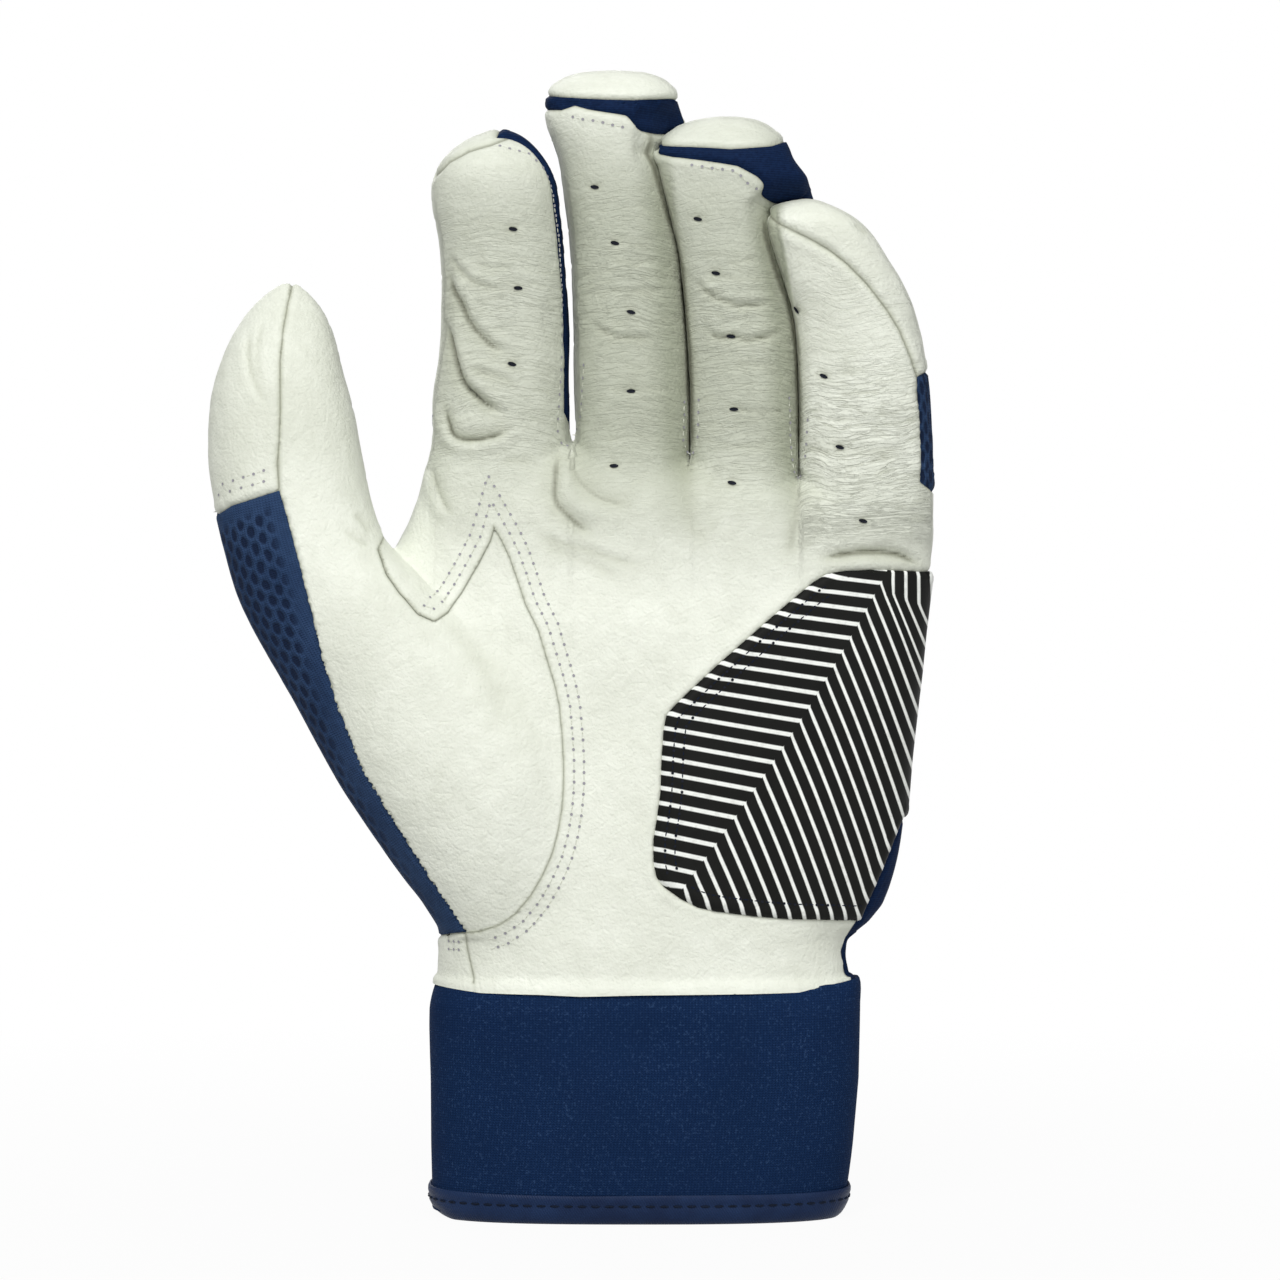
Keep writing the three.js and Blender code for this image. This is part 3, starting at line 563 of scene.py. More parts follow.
regions += [
    ("thumbCap", thumbCap, ["thumb_back_cap"]),
    ("thumbMesh", thumbMesh, ["thumb_mesh"]),
    ("thenarLeather", lambda p: np.minimum(outlined(p, "thenar"), thumbZone(p)),
     ["thenar_leather", "thumb_crease", "thumb_front_tip"]),
    ("wristSide", lambda p: onPalmSide(p, "wristSide"), ["wrist_side_leather"]),
    ("heelPatch", lambda p: onPalmSide(p, "heelPatch"), ["heel_patch"]),
    ("wristGusset", wristGusset, ["wrist_gusset"]),
    ("backMesh", backMesh, ["back_mesh"]),
    ("palmLeather", lambda p: np.full(len(p["x"]), 1.0), ["palm_leather"]),
]
regionNames = [name for name, measure, nodes in regions]
regionNumber = {name: i for i, name in enumerate(regionNames)}


def labelPoints(points):
    place = locate(points)
    label = np.full(len(points), len(regions) - 1)
    for i in range(len(regions) - 2, -1, -1):
        label[regions[i][1](place) > 0] = i
    return label


mesh = hand.data
faceCount = len(mesh.polygons)
loopStart = np.empty(faceCount, int)
loopTotal = np.empty(faceCount, int)
mesh.polygons.foreach_get("loop_start", loopStart)
mesh.polygons.foreach_get("loop_total", loopTotal)
loopPoint = np.empty(len(mesh.loops), int)
mesh.loops.foreach_get("vertex_index", loopPoint)
loopFace = np.repeat(np.arange(faceCount), loopTotal)
edges = np.empty(len(mesh.edges) * 2, int)
mesh.edges.foreach_get("vertices", edges)
edges = edges.reshape(-1, 2)

points = readPoints(hand)
centres = np.zeros((faceCount, 3))
np.add.at(centres, loopFace, points[loopPoint])
centres /= loopTotal[:, None]
faceLabel = labelPoints(centres)

# single stray faces take the label of the faces around them
for turn in range(3):
    votes = np.zeros((len(points), len(regions)))
    np.add.at(votes, (loopPoint, faceLabel[loopFace]), 1)
    faceVotes = np.zeros((faceCount, len(regions)))
    np.add.at(faceVotes, loopFace, votes[loopPoint])
    own = faceVotes[np.arange(faceCount), faceLabel]
    best = faceVotes.argmax(1)
    change = faceVotes.max(1) > own * 1.8
    faceLabel[change] = best[change]
print("faces labelled:", {n: int((faceLabel == i).sum()) for i, n in enumerate(regionNames)})

lowest = np.full(len(points), 99)
highest = np.full(len(points), -1)
np.minimum.at(lowest, loopPoint, faceLabel[loopFace])
np.maximum.at(highest, loopPoint, faceLabel[loopFace])
onSeam = lowest != highest


# mm: the step for a slope, the farthest place to slide to; flat is the least slope, squared
slideSettings = {"turns": 3, "step": 0.05, "flat": 0.04, "farthest": 3, "mostVoxels": 0.6}


def slideToSeams(points, normals):
    # points of a seam slide along the skin onto the seam's line
    step, flat = slideSettings["step"], slideSettings["flat"]
    limit = growth["voxel"] * 1000 * slideSettings["mostVoxels"]
    for turn in range(slideSettings["turns"]):
        for i, (name, measure, nodes) in enumerate(regions[:-1]):
            chosen = np.nonzero(onSeam & (lowest == i))[0]
            if not len(chosen):
                continue
            here = points[chosen]
            value = measure(locate(here))
            slopes = np.stack([measure(locate(here + axis * step)) - value for axis in np.eye(3)], 1) / step
            normal = normals[chosen]
            slopes -= (slopes * normal).sum(1)[:, None] * normal
            size = (slopes ** 2).sum(1)
            move = -value[:, None] * slopes / np.maximum(size, flat)[:, None]
            length = np.linalg.norm(move, axis=1)
            move *= np.minimum(1, limit / np.maximum(length, 1e-9))[:, None]
            move[(size < flat) | (length > slideSettings["farthest"])] = 0
            points[chosen] = here + move
    return points


def spreadOut(chosen, turns):
    # chosen points with their neighbours, a few edges out
    for turn in range(turns):
        wider = chosen.copy()
        wider[edges[:, 0]] |= chosen[edges[:, 1]]
        wider[edges[:, 1]] |= chosen[edges[:, 0]]
        chosen = wider
    return chosen


def neighbourMean(values):
    total = np.zeros_like(values)
    count = np.zeros(len(values))
    for a, b in ((0, 1), (1, 0)):
        np.add.at(total, edges[:, a], values[edges[:, b]])
        np.add.at(count, edges[:, a], 1)
    return total / np.maximum(count, 1)[:, None]


normals = readNormals(hand)
points = slideToSeams(points, normals)
loose = spreadOut(onSeam, 3) & ~onSeam & (points[:, 2] > growth["wristZ"] + 0.5)
for turn in range(6):
    move = neighbourMean(points) - points
    move -= (move * normals).sum(1)[:, None] * normals
    points[loose] += 0.5 * move[loose]
writePoints(hand, points)
print("seams placed")

# Folds, creases and seams are pressed into the skin
foldSettings = {
    # pixels of the picture, depth and width in mm, raised lip, its side (+1 is right of the line's run)
    "folds": [
        ([(441, 312), (448, 330), (457, 364), (465, 384), (482, 400), (498, 411), (512, 416)],
         1.7, 1.0, 0.9, -1),
        ([(447, 262), (453, 285), (461, 302), (471, 323), (486, 339), (500, 350), (516, 358)],
         0.9, 0.9, 0.5, -1),
        ([(447, 250), (459, 268), (471, 280), (490, 287), (514, 290)], 0.45, 0.7, 0.3, -1),
        ([(474, 260), (486, 267), (500, 268), (516, 265)], 0.3, 0.6, 0.15, -1),
        ([(465, 366), (490, 374), (508, 381), (520, 390)], 0.45, 0.7, 0.25, -1),
        ([(442, 398), (448, 425), (456, 438), (478, 440), (502, 434), (515, 423)], 0.9, 0.9, 0.6, 1),
        ([(430, 462), (437, 488), (446, 508), (456, 520)], 0.45, 0.9, 0.25, 1),
        ([(500, 461), (518, 459), (535, 463)], 0.3, 0.7, 0.2, -1),
        ([(560, 440), (557, 470), (556, 498), (566, 512), (582, 526), (600, 540)], 0.75, 1.3, 0.5, -1),
        ([(566, 446), (572, 468), (584, 487), (604, 500), (640, 508)], 0.5, 1.6, 0.3, 1),
        ([(528, 531), (547, 538), (569, 545), (604, 555), (648, 568)], 0.4, 1.0, 0.25, -1),
        ([(532, 541), (560, 551), (590, 563), (630, 580)], 0.25, 0.9, 0.15, -1),
        ([(590, 322), (604, 332), (620, 337), (637, 337), (658, 342)], 0.55, 0.7, 0.3, -1),
        ([(600, 287), (625, 292), (650, 290), (672, 294)], 0.3, 0.6, 0.15, -1),
        ([(604, 262), (630, 264), (660, 262)], 0.25, 0.6, 0.1, 1),
        ([(598, 388), (620, 392), (650, 390), (680, 394)], 0.25, 0.6, 0.1, 1),
        ([(590, 436), (610, 440), (640, 438), (670, 442)], 0.25, 0.7, 0.1, 1),
        ([(690, 274), (697, 283), (708, 293), (722, 300), (740, 305), (762, 304), (780, 299)],
         0.6, 0.7, 0.35, -1),
        ([(699, 320), (706, 330), (716, 336), (732, 337), (750, 339), (768, 336), (789, 329)],
         0.7, 0.7, 0.4, -1),
        ([(722, 263), (744, 263), (762, 255)], 0.25, 0.6, 0.1, 1),
        ([(713, 278), (740, 280), (772, 278)], 0.25, 0.6, 0.1, 1),
        ([(728, 358), (750, 364), (786, 366)], 0.3, 0.6, 0.15, -1),
        ([(722, 409), (750, 411), (793, 412)], 0.35, 0.6, 0.2, -1),
        ([(728, 417), (750, 418), (776, 416)], 0.2, 0.5, 0.1, -1),
        ([(700, 440), (740, 446), (785, 444)], 0.2, 0.6, 0.1, -1),
        ([(250, 326), (248, 356), (255, 384), (268, 411)], 0.35, 0.8, 0.2, 1),
        ([(262, 318), (257, 345), (258, 370), (266, 392)], 0.2, 0.6, 0.1, 1),
        ([(352, 513), (362, 522), (371, 536)], 0.3, 0.7, 0.15, 1),
        ([(343, 530), (356, 540), (372, 548)], 0.25, 0.7, 0.15, 1),
        ([(441, 622), (462, 640), (480, 664), (494, 700), (502, 745)], 0.12, 3.5, 0.1, 1),
        ([(812, 563), (834, 555), (864, 551), (895, 553), (914, 561), (930, 572)], 1.3, 1.1, 0.4, -1),
        ([(853, 224), (860, 228), (868, 236)], 0.3, 0.7, 0.1, 1),
        ([(690, 440), (687, 480), (690, 520), (704, 545), (720, 550)], 0.35, 3.4, 0.15, 1),
        ([(798, 470), (796, 510), (790, 548), (800, 566)], 0.45, 3.2, 0.2, 1),
    ],
    "rises": [
        # soft swellings: centre, half sizes in pixels, height in mm
        ((868, 563), (52, 8), 0.9), ((470, 352), (14, 30), 0.6), ((470, 424), (20, 12), 0.5),
        ((455, 300), (8, 22), 0.4), ((450, 480), (16, 30), 0.4), ((600, 468), (16, 26), 0.5),
        ((640, 640), (60, 50), 0.5), ((520, 760), (36, 90), 0.9), ((350, 600), (30, 50), 0.4),
    ],
    "holes": [
        # pixel of the picture and turn in degrees
        (513, 229, 8), (518, 288, 4), (512, 364, 14), (595, 187, 4), (615, 243, 12), (631, 312, 14),
        (631, 391, 0), (614, 466, 0), (698, 219, 8), (716, 273, 8), (731, 336, 6), (734, 409, 0),
        (732, 483, 12), (797, 310, 30), (824, 376, 18), (840, 447, 14), (863, 521, 14),
    ],
    "hole": {"width": 1.3, "height": 0.9, "depth": 0.25},
    "seamDepth": 0.5, "seamWidth": 0.45, "pillow": 0.16, "pillowAt": 1.4, "pillowWidth": 0.9,
    "lapRise": 0.3, "lapWidth": 5.5, "contactShade": 1.1,
}
leatherRegions = [
    regionNumber[n] for n in regionNames
    if n.endswith(("Front", "Cap")) or n in ("thenarLeather", "wristSide", "palmLeather")
]


def curveThrough(line, count):
    # even points on a smooth curve through the given ones
    line = np.array(line, float)
    control = np.vstack([2 * line[0] - line[1], line, 2 * line[-1] - line[-2]])
    out = []
    for a, b, c, d in zip(control, control[1:], control[2:], control[3:]):
        square, cube = 2 * a - 5 * b + 4 * c - d, 3 * b - a - 3 * c + d
        for t in np.linspace(0, 1, 12, endpoint=False):
            out.append(0.5 * (2 * b + (c - a) * t + square * t * t + cube * t ** 3))
    out = np.array(out + [control[-2]])
    run = np.concatenate([[0], np.cumsum(np.linalg.norm(np.diff(out, axis=0), axis=1))])
    even = np.linspace(0, run[-1], count)
    return np.stack([np.interp(even, run, out[:, 0]), np.interp(even, run, out[:, 1])], 1)


def toLine(across, down, line):
    # distance to a line in pixels, positive right of its run, and the share along it
    best = np.full(len(across), 1e9)
    signed = np.zeros(len(across))
    along = np.zeros(len(across))
    count = len(line) - 1
    for i, ((ax, ay), (bx, by)) in enumerate(zip(line, line[1:])):
        dx, dy = bx - ax, by - ay
        t = np.clip(((across - ax) * dx + (down - ay) * dy) / (dx * dx + dy * dy), 0, 1)
        gap = (across - ax - t * dx) ** 2 + (down - ay - t * dy) ** 2
        nearer = gap < best
        side = np.sign(dx * (down - ay) - dy * (across - ax))
        best = np.where(nearer, gap, best)
        signed = np.where(nearer, np.sqrt(gap) * side, signed)
        along = np.where(nearer, (i + t) / count, along)
    return signed, along


def softNoise(values, size, seed):
    # smooth random values between -1 and 1, in any number of directions
    table = np.random.RandomState(seed).uniform(-1, 1, 4096)
    scaled = values / size
    base = np.floor(scaled).astype(np.int64)
    part = scaled - base
    part = part * part * (3 - 2 * part)
    total = np.zeros(len(values))
    primes = (73856093, 19349663, 83492791)
    for corner in itertools.product((0, 1), repeat=values.shape[1]):
        key = np.zeros(len(values), np.int64)
        weight = np.ones(len(values))
        for k, step in enumerate(corner):
            key ^= (base[:, k] + step) * primes[k]
            weight *= part[:, k] if step else 1 - part[:, k]
        total += table[key & 4095] * weight
    return total


# middle, ring and little finger are pressed together: the line where they meet, seen in front
contacts = [
    {"left": 1, "top": 222, "z": [156, 164, 174, 181, 190, 196, 204, 210, 212.8, 215, 222],
     "x": [24.2, 24, 23.6, 23, 22.2, 20.8, 18.4, 16.6, 15, 15.8, 16.2]},
    {"left": 2, "top": 205, "z": [154, 164, 174, 179, 183, 190, 196, 202],
     "x": [45.9, 45.7, 45.2, 44.4, 43.4, 40.9, 39, 38]},
]
# mm: the slant's width, how much wider a pressed finger is, and half the gap between two
pressSettings = {"slantWidth": 6.5, "slant": (0.05, 0.8), "wider": 1.1, "gap": 0.06, "rounding": 0.06}


def pressTogether(points, place, contact):
    # both skins flatten on a slanted plane, the right finger in front
    i = contact["left"]
    z, y = place["z"], place["y"]
    edgeLeft, edgeRight = atHeight(fingerTables[i], "right", z), atHeight(fingerTables[i + 1], "left", z)
    centre = (edgeLeft + edgeRight) / 2
    middleY = sum(atHeight(fingerTables[k], side, z) for k in (i, i + 1) for side in ("front", "back")) / 4
    meet = np.interp(z, contact["z"], contact["x"])
    slant = np.clip((centre - meet) / pressSettings["slantWidth"], *pressSettings["slant"])
    plane = centre + slant * (y - middleY)
    amount = ramp(145, 151, z) * ramp(contact["top"] + 4, contact["top"] - 3, z)
    for k, side in ((i, 1), (i + 1, -1)):
        left, right = atHeight(fingerTables[k], "left", z), atHeight(fingerTables[k], "right", z)
        middleX, half = (left + right) / 2, (right - left) / 2
        outward = (place["x"] - middleX) * side / half
        reach = (plane - middleX) * side
        grownOut = outward * (reach + pressSettings["wider"])
        room = reach - pressSettings["gap"] - grownOut
        grownOut += np.minimum(0, 0.5 * (room - np.sqrt(room ** 2 + pressSettings["rounding"])))
        weight = np.where(place["finger"] == k, amount * ramp(0.1, 0.8, outward), 0)
        shifted = middleX + side * grownOut
        points[:, 0] += weight * (shifted - points[:, 0])
    return points


points = readPoints(hand)
place = locate(points)
for contact in contacts:
    points = pressTogether(points, place, contact)
# the little finger's side is a little wider above the wrist
points[:, 0] += 0.016 * np.maximum(points[:, 0] - 20, 0) * ramp(60, 90, points[:, 2])
# the ring finger's fabric bulges over the little finger's tip
z = place["z"]
bulge = ramp(0.85, 1.25, (place["x"] - place["centreX"]) / 9) * ramp(203.4, 204.8, z) * ramp(213, 206, z)
points[:, 0] += 2.3 * np.where(place["finger"] == 2, bulge, 0)
writePoints(hand, points)


def soften(points, weight, turns):
    # evens out the skin's height where a weight says so, its outline stays
    chosen = (weight[edges[:, 0]] > 0) | (weight[edges[:, 1]] > 0)
    a, b = edges[chosen].T
    size = len(points)
    count = np.maximum(np.bincount(a, minlength=size) + np.bincount(b, minlength=size), 1)
    height = points[:, 1].copy()
    for turn in range(turns):
        total = np.bincount(a, height[b], size) + np.bincount(b, height[a], size)
        height += weight * (total / count - height)
    points[:, 1] = height
    return points


across, down = toPicture(points)
pixel = camera["pixel"]
flat = ramp(0.25, 0.7, -readNormals(hand)[:, 1])
besideThumb = np.maximum(0.4, ramp(440, 560, down))
weight = 0.9 * flat * np.where(points[:, 0] > crotch["x"], ramp(395, 465, down), besideThumb)
points = soften(points, weight, 150)
writePoints(hand, points)
normals = readNormals(hand)
across, down = toPicture(points)
facing = ramp(0.05, 0.45, -normals[:, 1])
isLeather = np.isin(lowest, leatherRegions)
push = np.zeros(len(points))
# painted shade in folds, wrinkles, seams, pits and where fingers press together; the leather's colour darkens
# with it
fold = np.zeros(len(points))

for line, depth, width, lift, side in foldSettings["folds"]:
    line = curveThrough(line, 40)
    reachPixels = width * 5 / pixel
    low, high = line.min(0) - reachPixels, line.max(0) + reachPixels
    chosen = np.nonzero(
        (across > low[0]) & (across < high[0]) & (down > low[1]) & (down < high[1]) & (facing > 0.01)
    )[0]
    signed, along = toLine(across[chosen], down[chosen], line)
    signed *= pixel
    fade = ramp(0, 0.25, along) * ramp(0, 0.25, 1 - along) * facing[chosen]
    groove = np.exp(-np.sqrt((signed / width / 0.7) ** 2 + 0.02))
    lip = np.exp(-((signed * side - 1.7 * width) / (1.3 * width)) ** 2)
    push[chosen] += fade * (lift * lip - depth * groove)
    # painted shade along each fold's groove and on its side away from the lip
    tone = 0.45 * np.exp(-((signed * side + 0.8 * width) / (1.5 * width)) ** 2)
    tone += 0.55 * np.exp(-((signed * side + 0.1) / (0.42 * width + 0.1)) ** 2)
    fold[chosen] = np.maximum(fold[chosen], fade * tone * min(1, 0.15 + depth))

for (cx, cy), (rx, ry), height in foldSettings["rises"]:
    push += height * facing * np.exp(-((across - cx) / rx) ** 2 - ((down - cy) / ry) ** 2)

hole = foldSettings["hole"]
for cx, cy, turn in foldSettings["holes"]:
    c, s = math.cos(math.radians(turn)), math.sin(math.radians(turn))
    u = ((across - cx) * c + (down - cy) * s) * pixel
    v = ((down - cy) * c - (across - cx) * s) * pixel
    pit = np.exp(-(u / hole["width"] / 1.1) ** 2 - (v / hole["height"] / 1.3) ** 2) * facing
    push -= hole["depth"] * pit
    # painted shade in each vent's pit
    fold = np.maximum(fold, 0.7 * pit)

# fine wrinkles run across the fingers, strongest at the joints
wrinkleBands = {
    "index": [(232, 26, 0.5), (300, 40, 0.9), (385, 40, 0.8), (445, 30, 0.5)],
    "middle": [(200, 20, 0.4), (265, 45, 1.1), (330, 30, 0.9), (400, 40, 0.6), (450, 30, 0.4)],
    "ring": [(215, 20, 0.4), (290, 40, 1.0), (350, 35, 0.9), (415, 40, 0.8), (470, 30, 0.5)],
    "little": [(300, 30, 0.4), (400, 45, 1.1), (460, 45, 1.2), (520, 30, 0.9)],
}
# painted shade on each finger's front, which tilts down away from the light, and how much more on its right
# side, which turns away from the light and lies on the next finger
paintedFingerShade = {"index": (0.42, 0.1), "middle": (0.72, 0.45), "ring": (0.62, 0.55), "little": (0.06, 0)}
# below the webs the fingers' fields on the palm go from one of these places to the next
fieldEdges = [-27, 0, 24, 45.8]
fine = np.stack(
    [points[:, 0] * 0.5, points[:, 2] * 0.5 + points[:, 0] * 0.25, np.full(len(points), 0.12)], 1
)
grey = np.zeros(len(points))
paintedShadeShare = np.full(len(points), 0.001)
for i, name in enumerate(fingerNames):
    table = fingerTables[i]
    edgeLeft, edgeRight = atHeight(table, "left", place["z"]), atHeight(table, "right", place["z"])
    edgeLeft = np.where(place["z"] < 150, fieldEdges[i], edgeLeft)
    if name != "little":
        edgeRight = np.where(place["z"] < 150, fieldEdges[i + 1], edgeRight)
    inward = np.minimum(place["x"] - edgeLeft, edgeRight - place["x"])
    onIt = (inward > -0.3) * facing * ramp(610, 500, down)
    amount = np.zeros(len(points))
    for centre, spread, strength in wrinkleBands[name]:
        amount += strength * np.exp(-((down - centre) / spread) ** 2)
    bend = 0.012 * (place["x"] - (edgeLeft + edgeRight) / 2) ** 2
    if name == "little":
        bend = -2.6 * np.exp(-((place["x"] - 48) / 3.6) ** 2) - 0.16 * (place["x"] - 56)
    flow = np.stack([place["x"] * 0.13, place["z"] + bend + 0.7 * softNoise(points, 6, 5)], 1)
    lines = 1 - np.abs(softNoise(flow, 0.9, 11 + i))
    finer = 1 - np.abs(softNoise(flow * 1.7 + 9, 0.9, 21 + i))
    ridges = (lines - 0.5) * 0.24 + (finer - 0.5) * 0.12
    push += onIt * amount * ridges * 0.9
    flowHere = np.stack([flow[:, 0], flow[:, 1], 0.25 + 0.75 * np.clip(amount, 0, 1.4)], 1)
    fine += onIt[:, None] * (flowHere - fine)
    toRight = (place["x"] - (edgeLeft + edgeRight) / 2) / np.maximum(edgeRight - edgeLeft, 1) * 2
    shadeOverall, side = paintedFingerShade[name]
    along = ramp(60, 230, down) * ramp(590, 430, down) * facing
    share = ramp(-1.6, 1.6, inward) + 0.0001
    # painted shade on the finger's front, more towards its right side
    grey += share * along * (shadeOverall + side * ramp(0.2, 1, toRight))
    paintedShadeShare += share
    for contact in contacts:
        if contact["left"] == i:
            # painted shade on the fronts beside the line where two fingers press together
            meet = np.interp(place["z"], contact["z"], contact["x"])
            gap = np.abs(meet - place["x"]) / foldSettings["contactShade"]
            darkest = ramp(contact["top"] + 2, contact["top"] - 10, place["z"]) * ramp(150, 158, place["z"])
            fold = np.maximum(fold, 0.95 * np.exp(-gap ** 1.5) * darkest * ramp(-0.2, 0.2, -normals[:, 1]))
    # painted shade in the wrinkles' valleys
    fold = np.maximum(fold, onIt * np.clip(amount, 0, 1.3) * np.clip(0.42 - lines, 0, 1) * 0.9)

grey /= paintedShadeShare

# the skin is never quite even
push += isLeather * (
    0.22 * softNoise(points, 13, 31) + 0.1 * softNoise(points, 5.2, 32) + 0.045 * softNoise(points, 2.1, 33)
)
push += ~isLeather * (0.16 * softNoise(points, 12, 34) + 0.05 * softNoise(points, 4, 35))

# seams sink in and the edges beside them swell a little
seamGap = np.full(len(points), 9.0)
atLap = np.zeros(len(points), bool)
for name, measure, nodes in regions[:-1]:
    if name.endswith("Front"):
        continue
    value = np.abs(measure(place))
    if name.endswith(("Back", "Gusset")) or name == "webGussets":
        value = np.where(np.abs(place["z"] - place["splitZ"]) < 1.6, 9, value)
    atLap = np.where(value < seamGap, name in ("thenarLeather", "wristSide"), atLap)
    seamGap = np.where(value < seamGap, value, seamGap)
reachable = spreadOut(onSeam, 12)
seamTree = KDTree(int(onSeam.sum()))
for k, spot in enumerate(points[onSeam]):
    seamTree.insert(spot, k)
seamTree.balance()
# where a measure is small but no seam is near, the skin stays smooth
apart = np.full(len(points), 9.0)
for k in np.nonzero(reachable)[0]:
    apart[k] = seamTree.find(points[k])[2]
seamGap = np.where(apart > seamGap + 0.9, 9, seamGap)
fade = np.where(reachable, 1, 0) * np.where(place["z"] > growth["wristZ"] + 1.5, 1, 0.3)
groove = np.exp(-(seamGap / foldSettings["seamWidth"]) ** 2)
pillow = np.exp(-((seamGap - foldSettings["pillowAt"]) / foldSettings["pillowWidth"]) ** 2)
level = np.where(atLap, 0.12, 1)
push += fade * level * (foldSettings["pillow"] * pillow - foldSettings["seamDepth"] * groove)
# painted shade in the seams' grooves; where one leather laps over another, only a thin line
fold = np.maximum(fold, fade * np.where(atLap, 0.75 * np.exp(-(seamGap / 0.38) ** 2), 0.75 * groove))

# palm leather laps over the thumb's leather
lap = -outlined(place, "thenar")
onPalm = lowest == regionNumber["palmLeather"]
push += onPalm * facing * foldSettings["lapRise"] * ramp(0, 1, 1 - lap / foldSettings["lapWidth"])

points += normals * push[:, None]

# the leather's hem bulges over the cuff
hem = ramp(growth["wristZ"] + 4, growth["wristZ"] + 0.4, points[:, 2])
outward = normals * np.array([1, 1, 0])
points += outward * hem[:, None] * 0.9
hemRise = {
    "x": [-28, -24, -18, -6, 2, 14, 42, 50, 54, 56], "rise": [1.4, 1, 0.4, 0.3, 0, 0.3, 0.5, 0.6, 1.1, 1.8],
}
rise = np.interp(points[:, 0], hemRise["x"], hemRise["rise"])
points[:, 2] += hem * rise * ramp(10, 2, points[:, 1])
writePoints(hand, points)

# painted shade also on the palm below the middle finger
grey = np.maximum(grey, 0.25 * facing * ramp(620, 520, down) * ramp(440, 500, down) * ramp(560, 640, across))
for name, values in (("fold", fold), ("grey", grey)):
    attribute = hand.data.attributes.new(name, "FLOAT", "POINT")
    attribute.data.foreach_set("value", np.clip(values, 0, 1).astype(np.float32))


def keepVectors(ob, name, vectors):
    attribute = ob.data.attributes.new(name, "FLOAT_VECTOR", "POINT")
    attribute.data.foreach_set("vector", vectors.astype(np.float32).ravel())


keepVectors(hand, "fine", fine)
print("folds pressed in")

# one tree of the whole outer skin, for laying stitches and trims on it
mesh = hand.data
skinTree = BVHTree.FromPolygons(
    [v.co.copy() for v in mesh.vertices], [tuple(p.vertices) for p in mesh.polygons], all_triangles=False
)


def onSkin(x, y, tree=None):
    # the point of the skin that shows at a pixel, and its normal, in metres
    eye = Vector((camera["x"], -camera["distance"], camera["z"])) / 1000
    aim = Vector((
        camera["x"] + (x - camera["centre"]) * pixel, camera["plane"] - camera["distance"],
        camera["z"] - (y - camera["centre"]) * pixel,
    )) / 1000
    return (tree or skinTree).ray_cast(eye, (aim - eye).normalized())[:2]


def wrapped(x, edge, radius, front, side):
    # distance round a rounded edge at `edge`, equal to x away from it
    depth = np.clip(np.abs(edge - x), 0, None)
    inside = np.arccos(np.clip(1 - np.minimum(depth, radius) / radius, -1, 1)) * radius
    run = np.where(depth < radius, inside, radius * math.pi / 2 + depth - radius)
    base = edge + side * radius * (math.pi / 2 - 1)
    return np.where(front, base + side * run, base - side * run)


# Cloth directions: millimetres across and along, for the fabric's patterns
points = readPoints(hand)
place = locate(points)
z = place["z"]
rowsZ = np.linspace(40, 200, 161)
rowsEdge = atHeight(thumbTable, "left", rowsZ)
edgeRun = np.concatenate([[0], np.cumsum(np.hypot(np.diff(rowsEdge), np.diff(rowsZ)))])
lean = np.gradient(rowsEdge, rowsZ)
leanCos = np.interp(z, rowsZ, 1 / np.sqrt(1 + lean ** 2))
thumbEdge = atHeight(thumbTable, "left", z)
fromEdge = np.clip((points[:, 0] - thumbEdge) * leanCos, 0, None)
thumbRun = wrapped(fromEdge, 0, 12, points[:, 1] < place["thumbY"], -1)
nearestRow = z + (points[:, 0] - thumbEdge) * np.interp(z, rowsZ, lean) * leanCos ** 2
alongThumb = np.interp(nearestRow, rowsZ, edgeRun)
palmEdge = atHeight(formTable(palmForm), "right", z)
littleEdge = np.where(z > 150, atHeight(fingerTables[3], "right", z), palmEdge)
onSide = wrapped(points[:, 0], littleEdge, 11, points[:, 1] < 0, 1)
sideRun = np.where(points[:, 0] > 40, onSide, points[:, 0])
isThumb = np.isin(lowest, [regionNumber[name] for name in ("thumbMesh", "thumbCap", "thenarLeather")])
fromSeam = np.where(isThumb, outlined(place, "thumbMesh"), 9)
cloth = np.stack([np.where(isThumb, thumbRun, sideRun), np.where(isThumb, alongThumb, z), fromSeam], 1)
keepVectors(hand, "cloth", cloth)

# stripes of the heel patch, in pixels of the picture: two families that meet on a mitre line; stripes before
# the first one start on a second mitre line, right of the first
stripeForm = {
    "mitreTop": (879, 583), "mitreLength": 303, "mitreLean": -0.6436, "bow": 9, "step": 13.8, "count": 27,
    "leftSlope": 0.1157, "leftSlopeStep": 0.00498, "aboveStep": 13,
    "rightSlope": 0.41, "rightSlopeStep": 0.0027, "straighten": 500,
    "secondTop": (883, 591), "secondLean": 0.39, "secondStep": 12.3, "secondCount": 12,
}


def mitreAcross(down):
    top = stripeForm["mitreTop"]
    share = np.clip((down - top[1]) / stripeForm["mitreLength"], 0, 1)
    return top[0] + stripeForm["mitreLean"] * (down - top[1]) + stripeForm["bow"] * 4 * share * (1 - share)


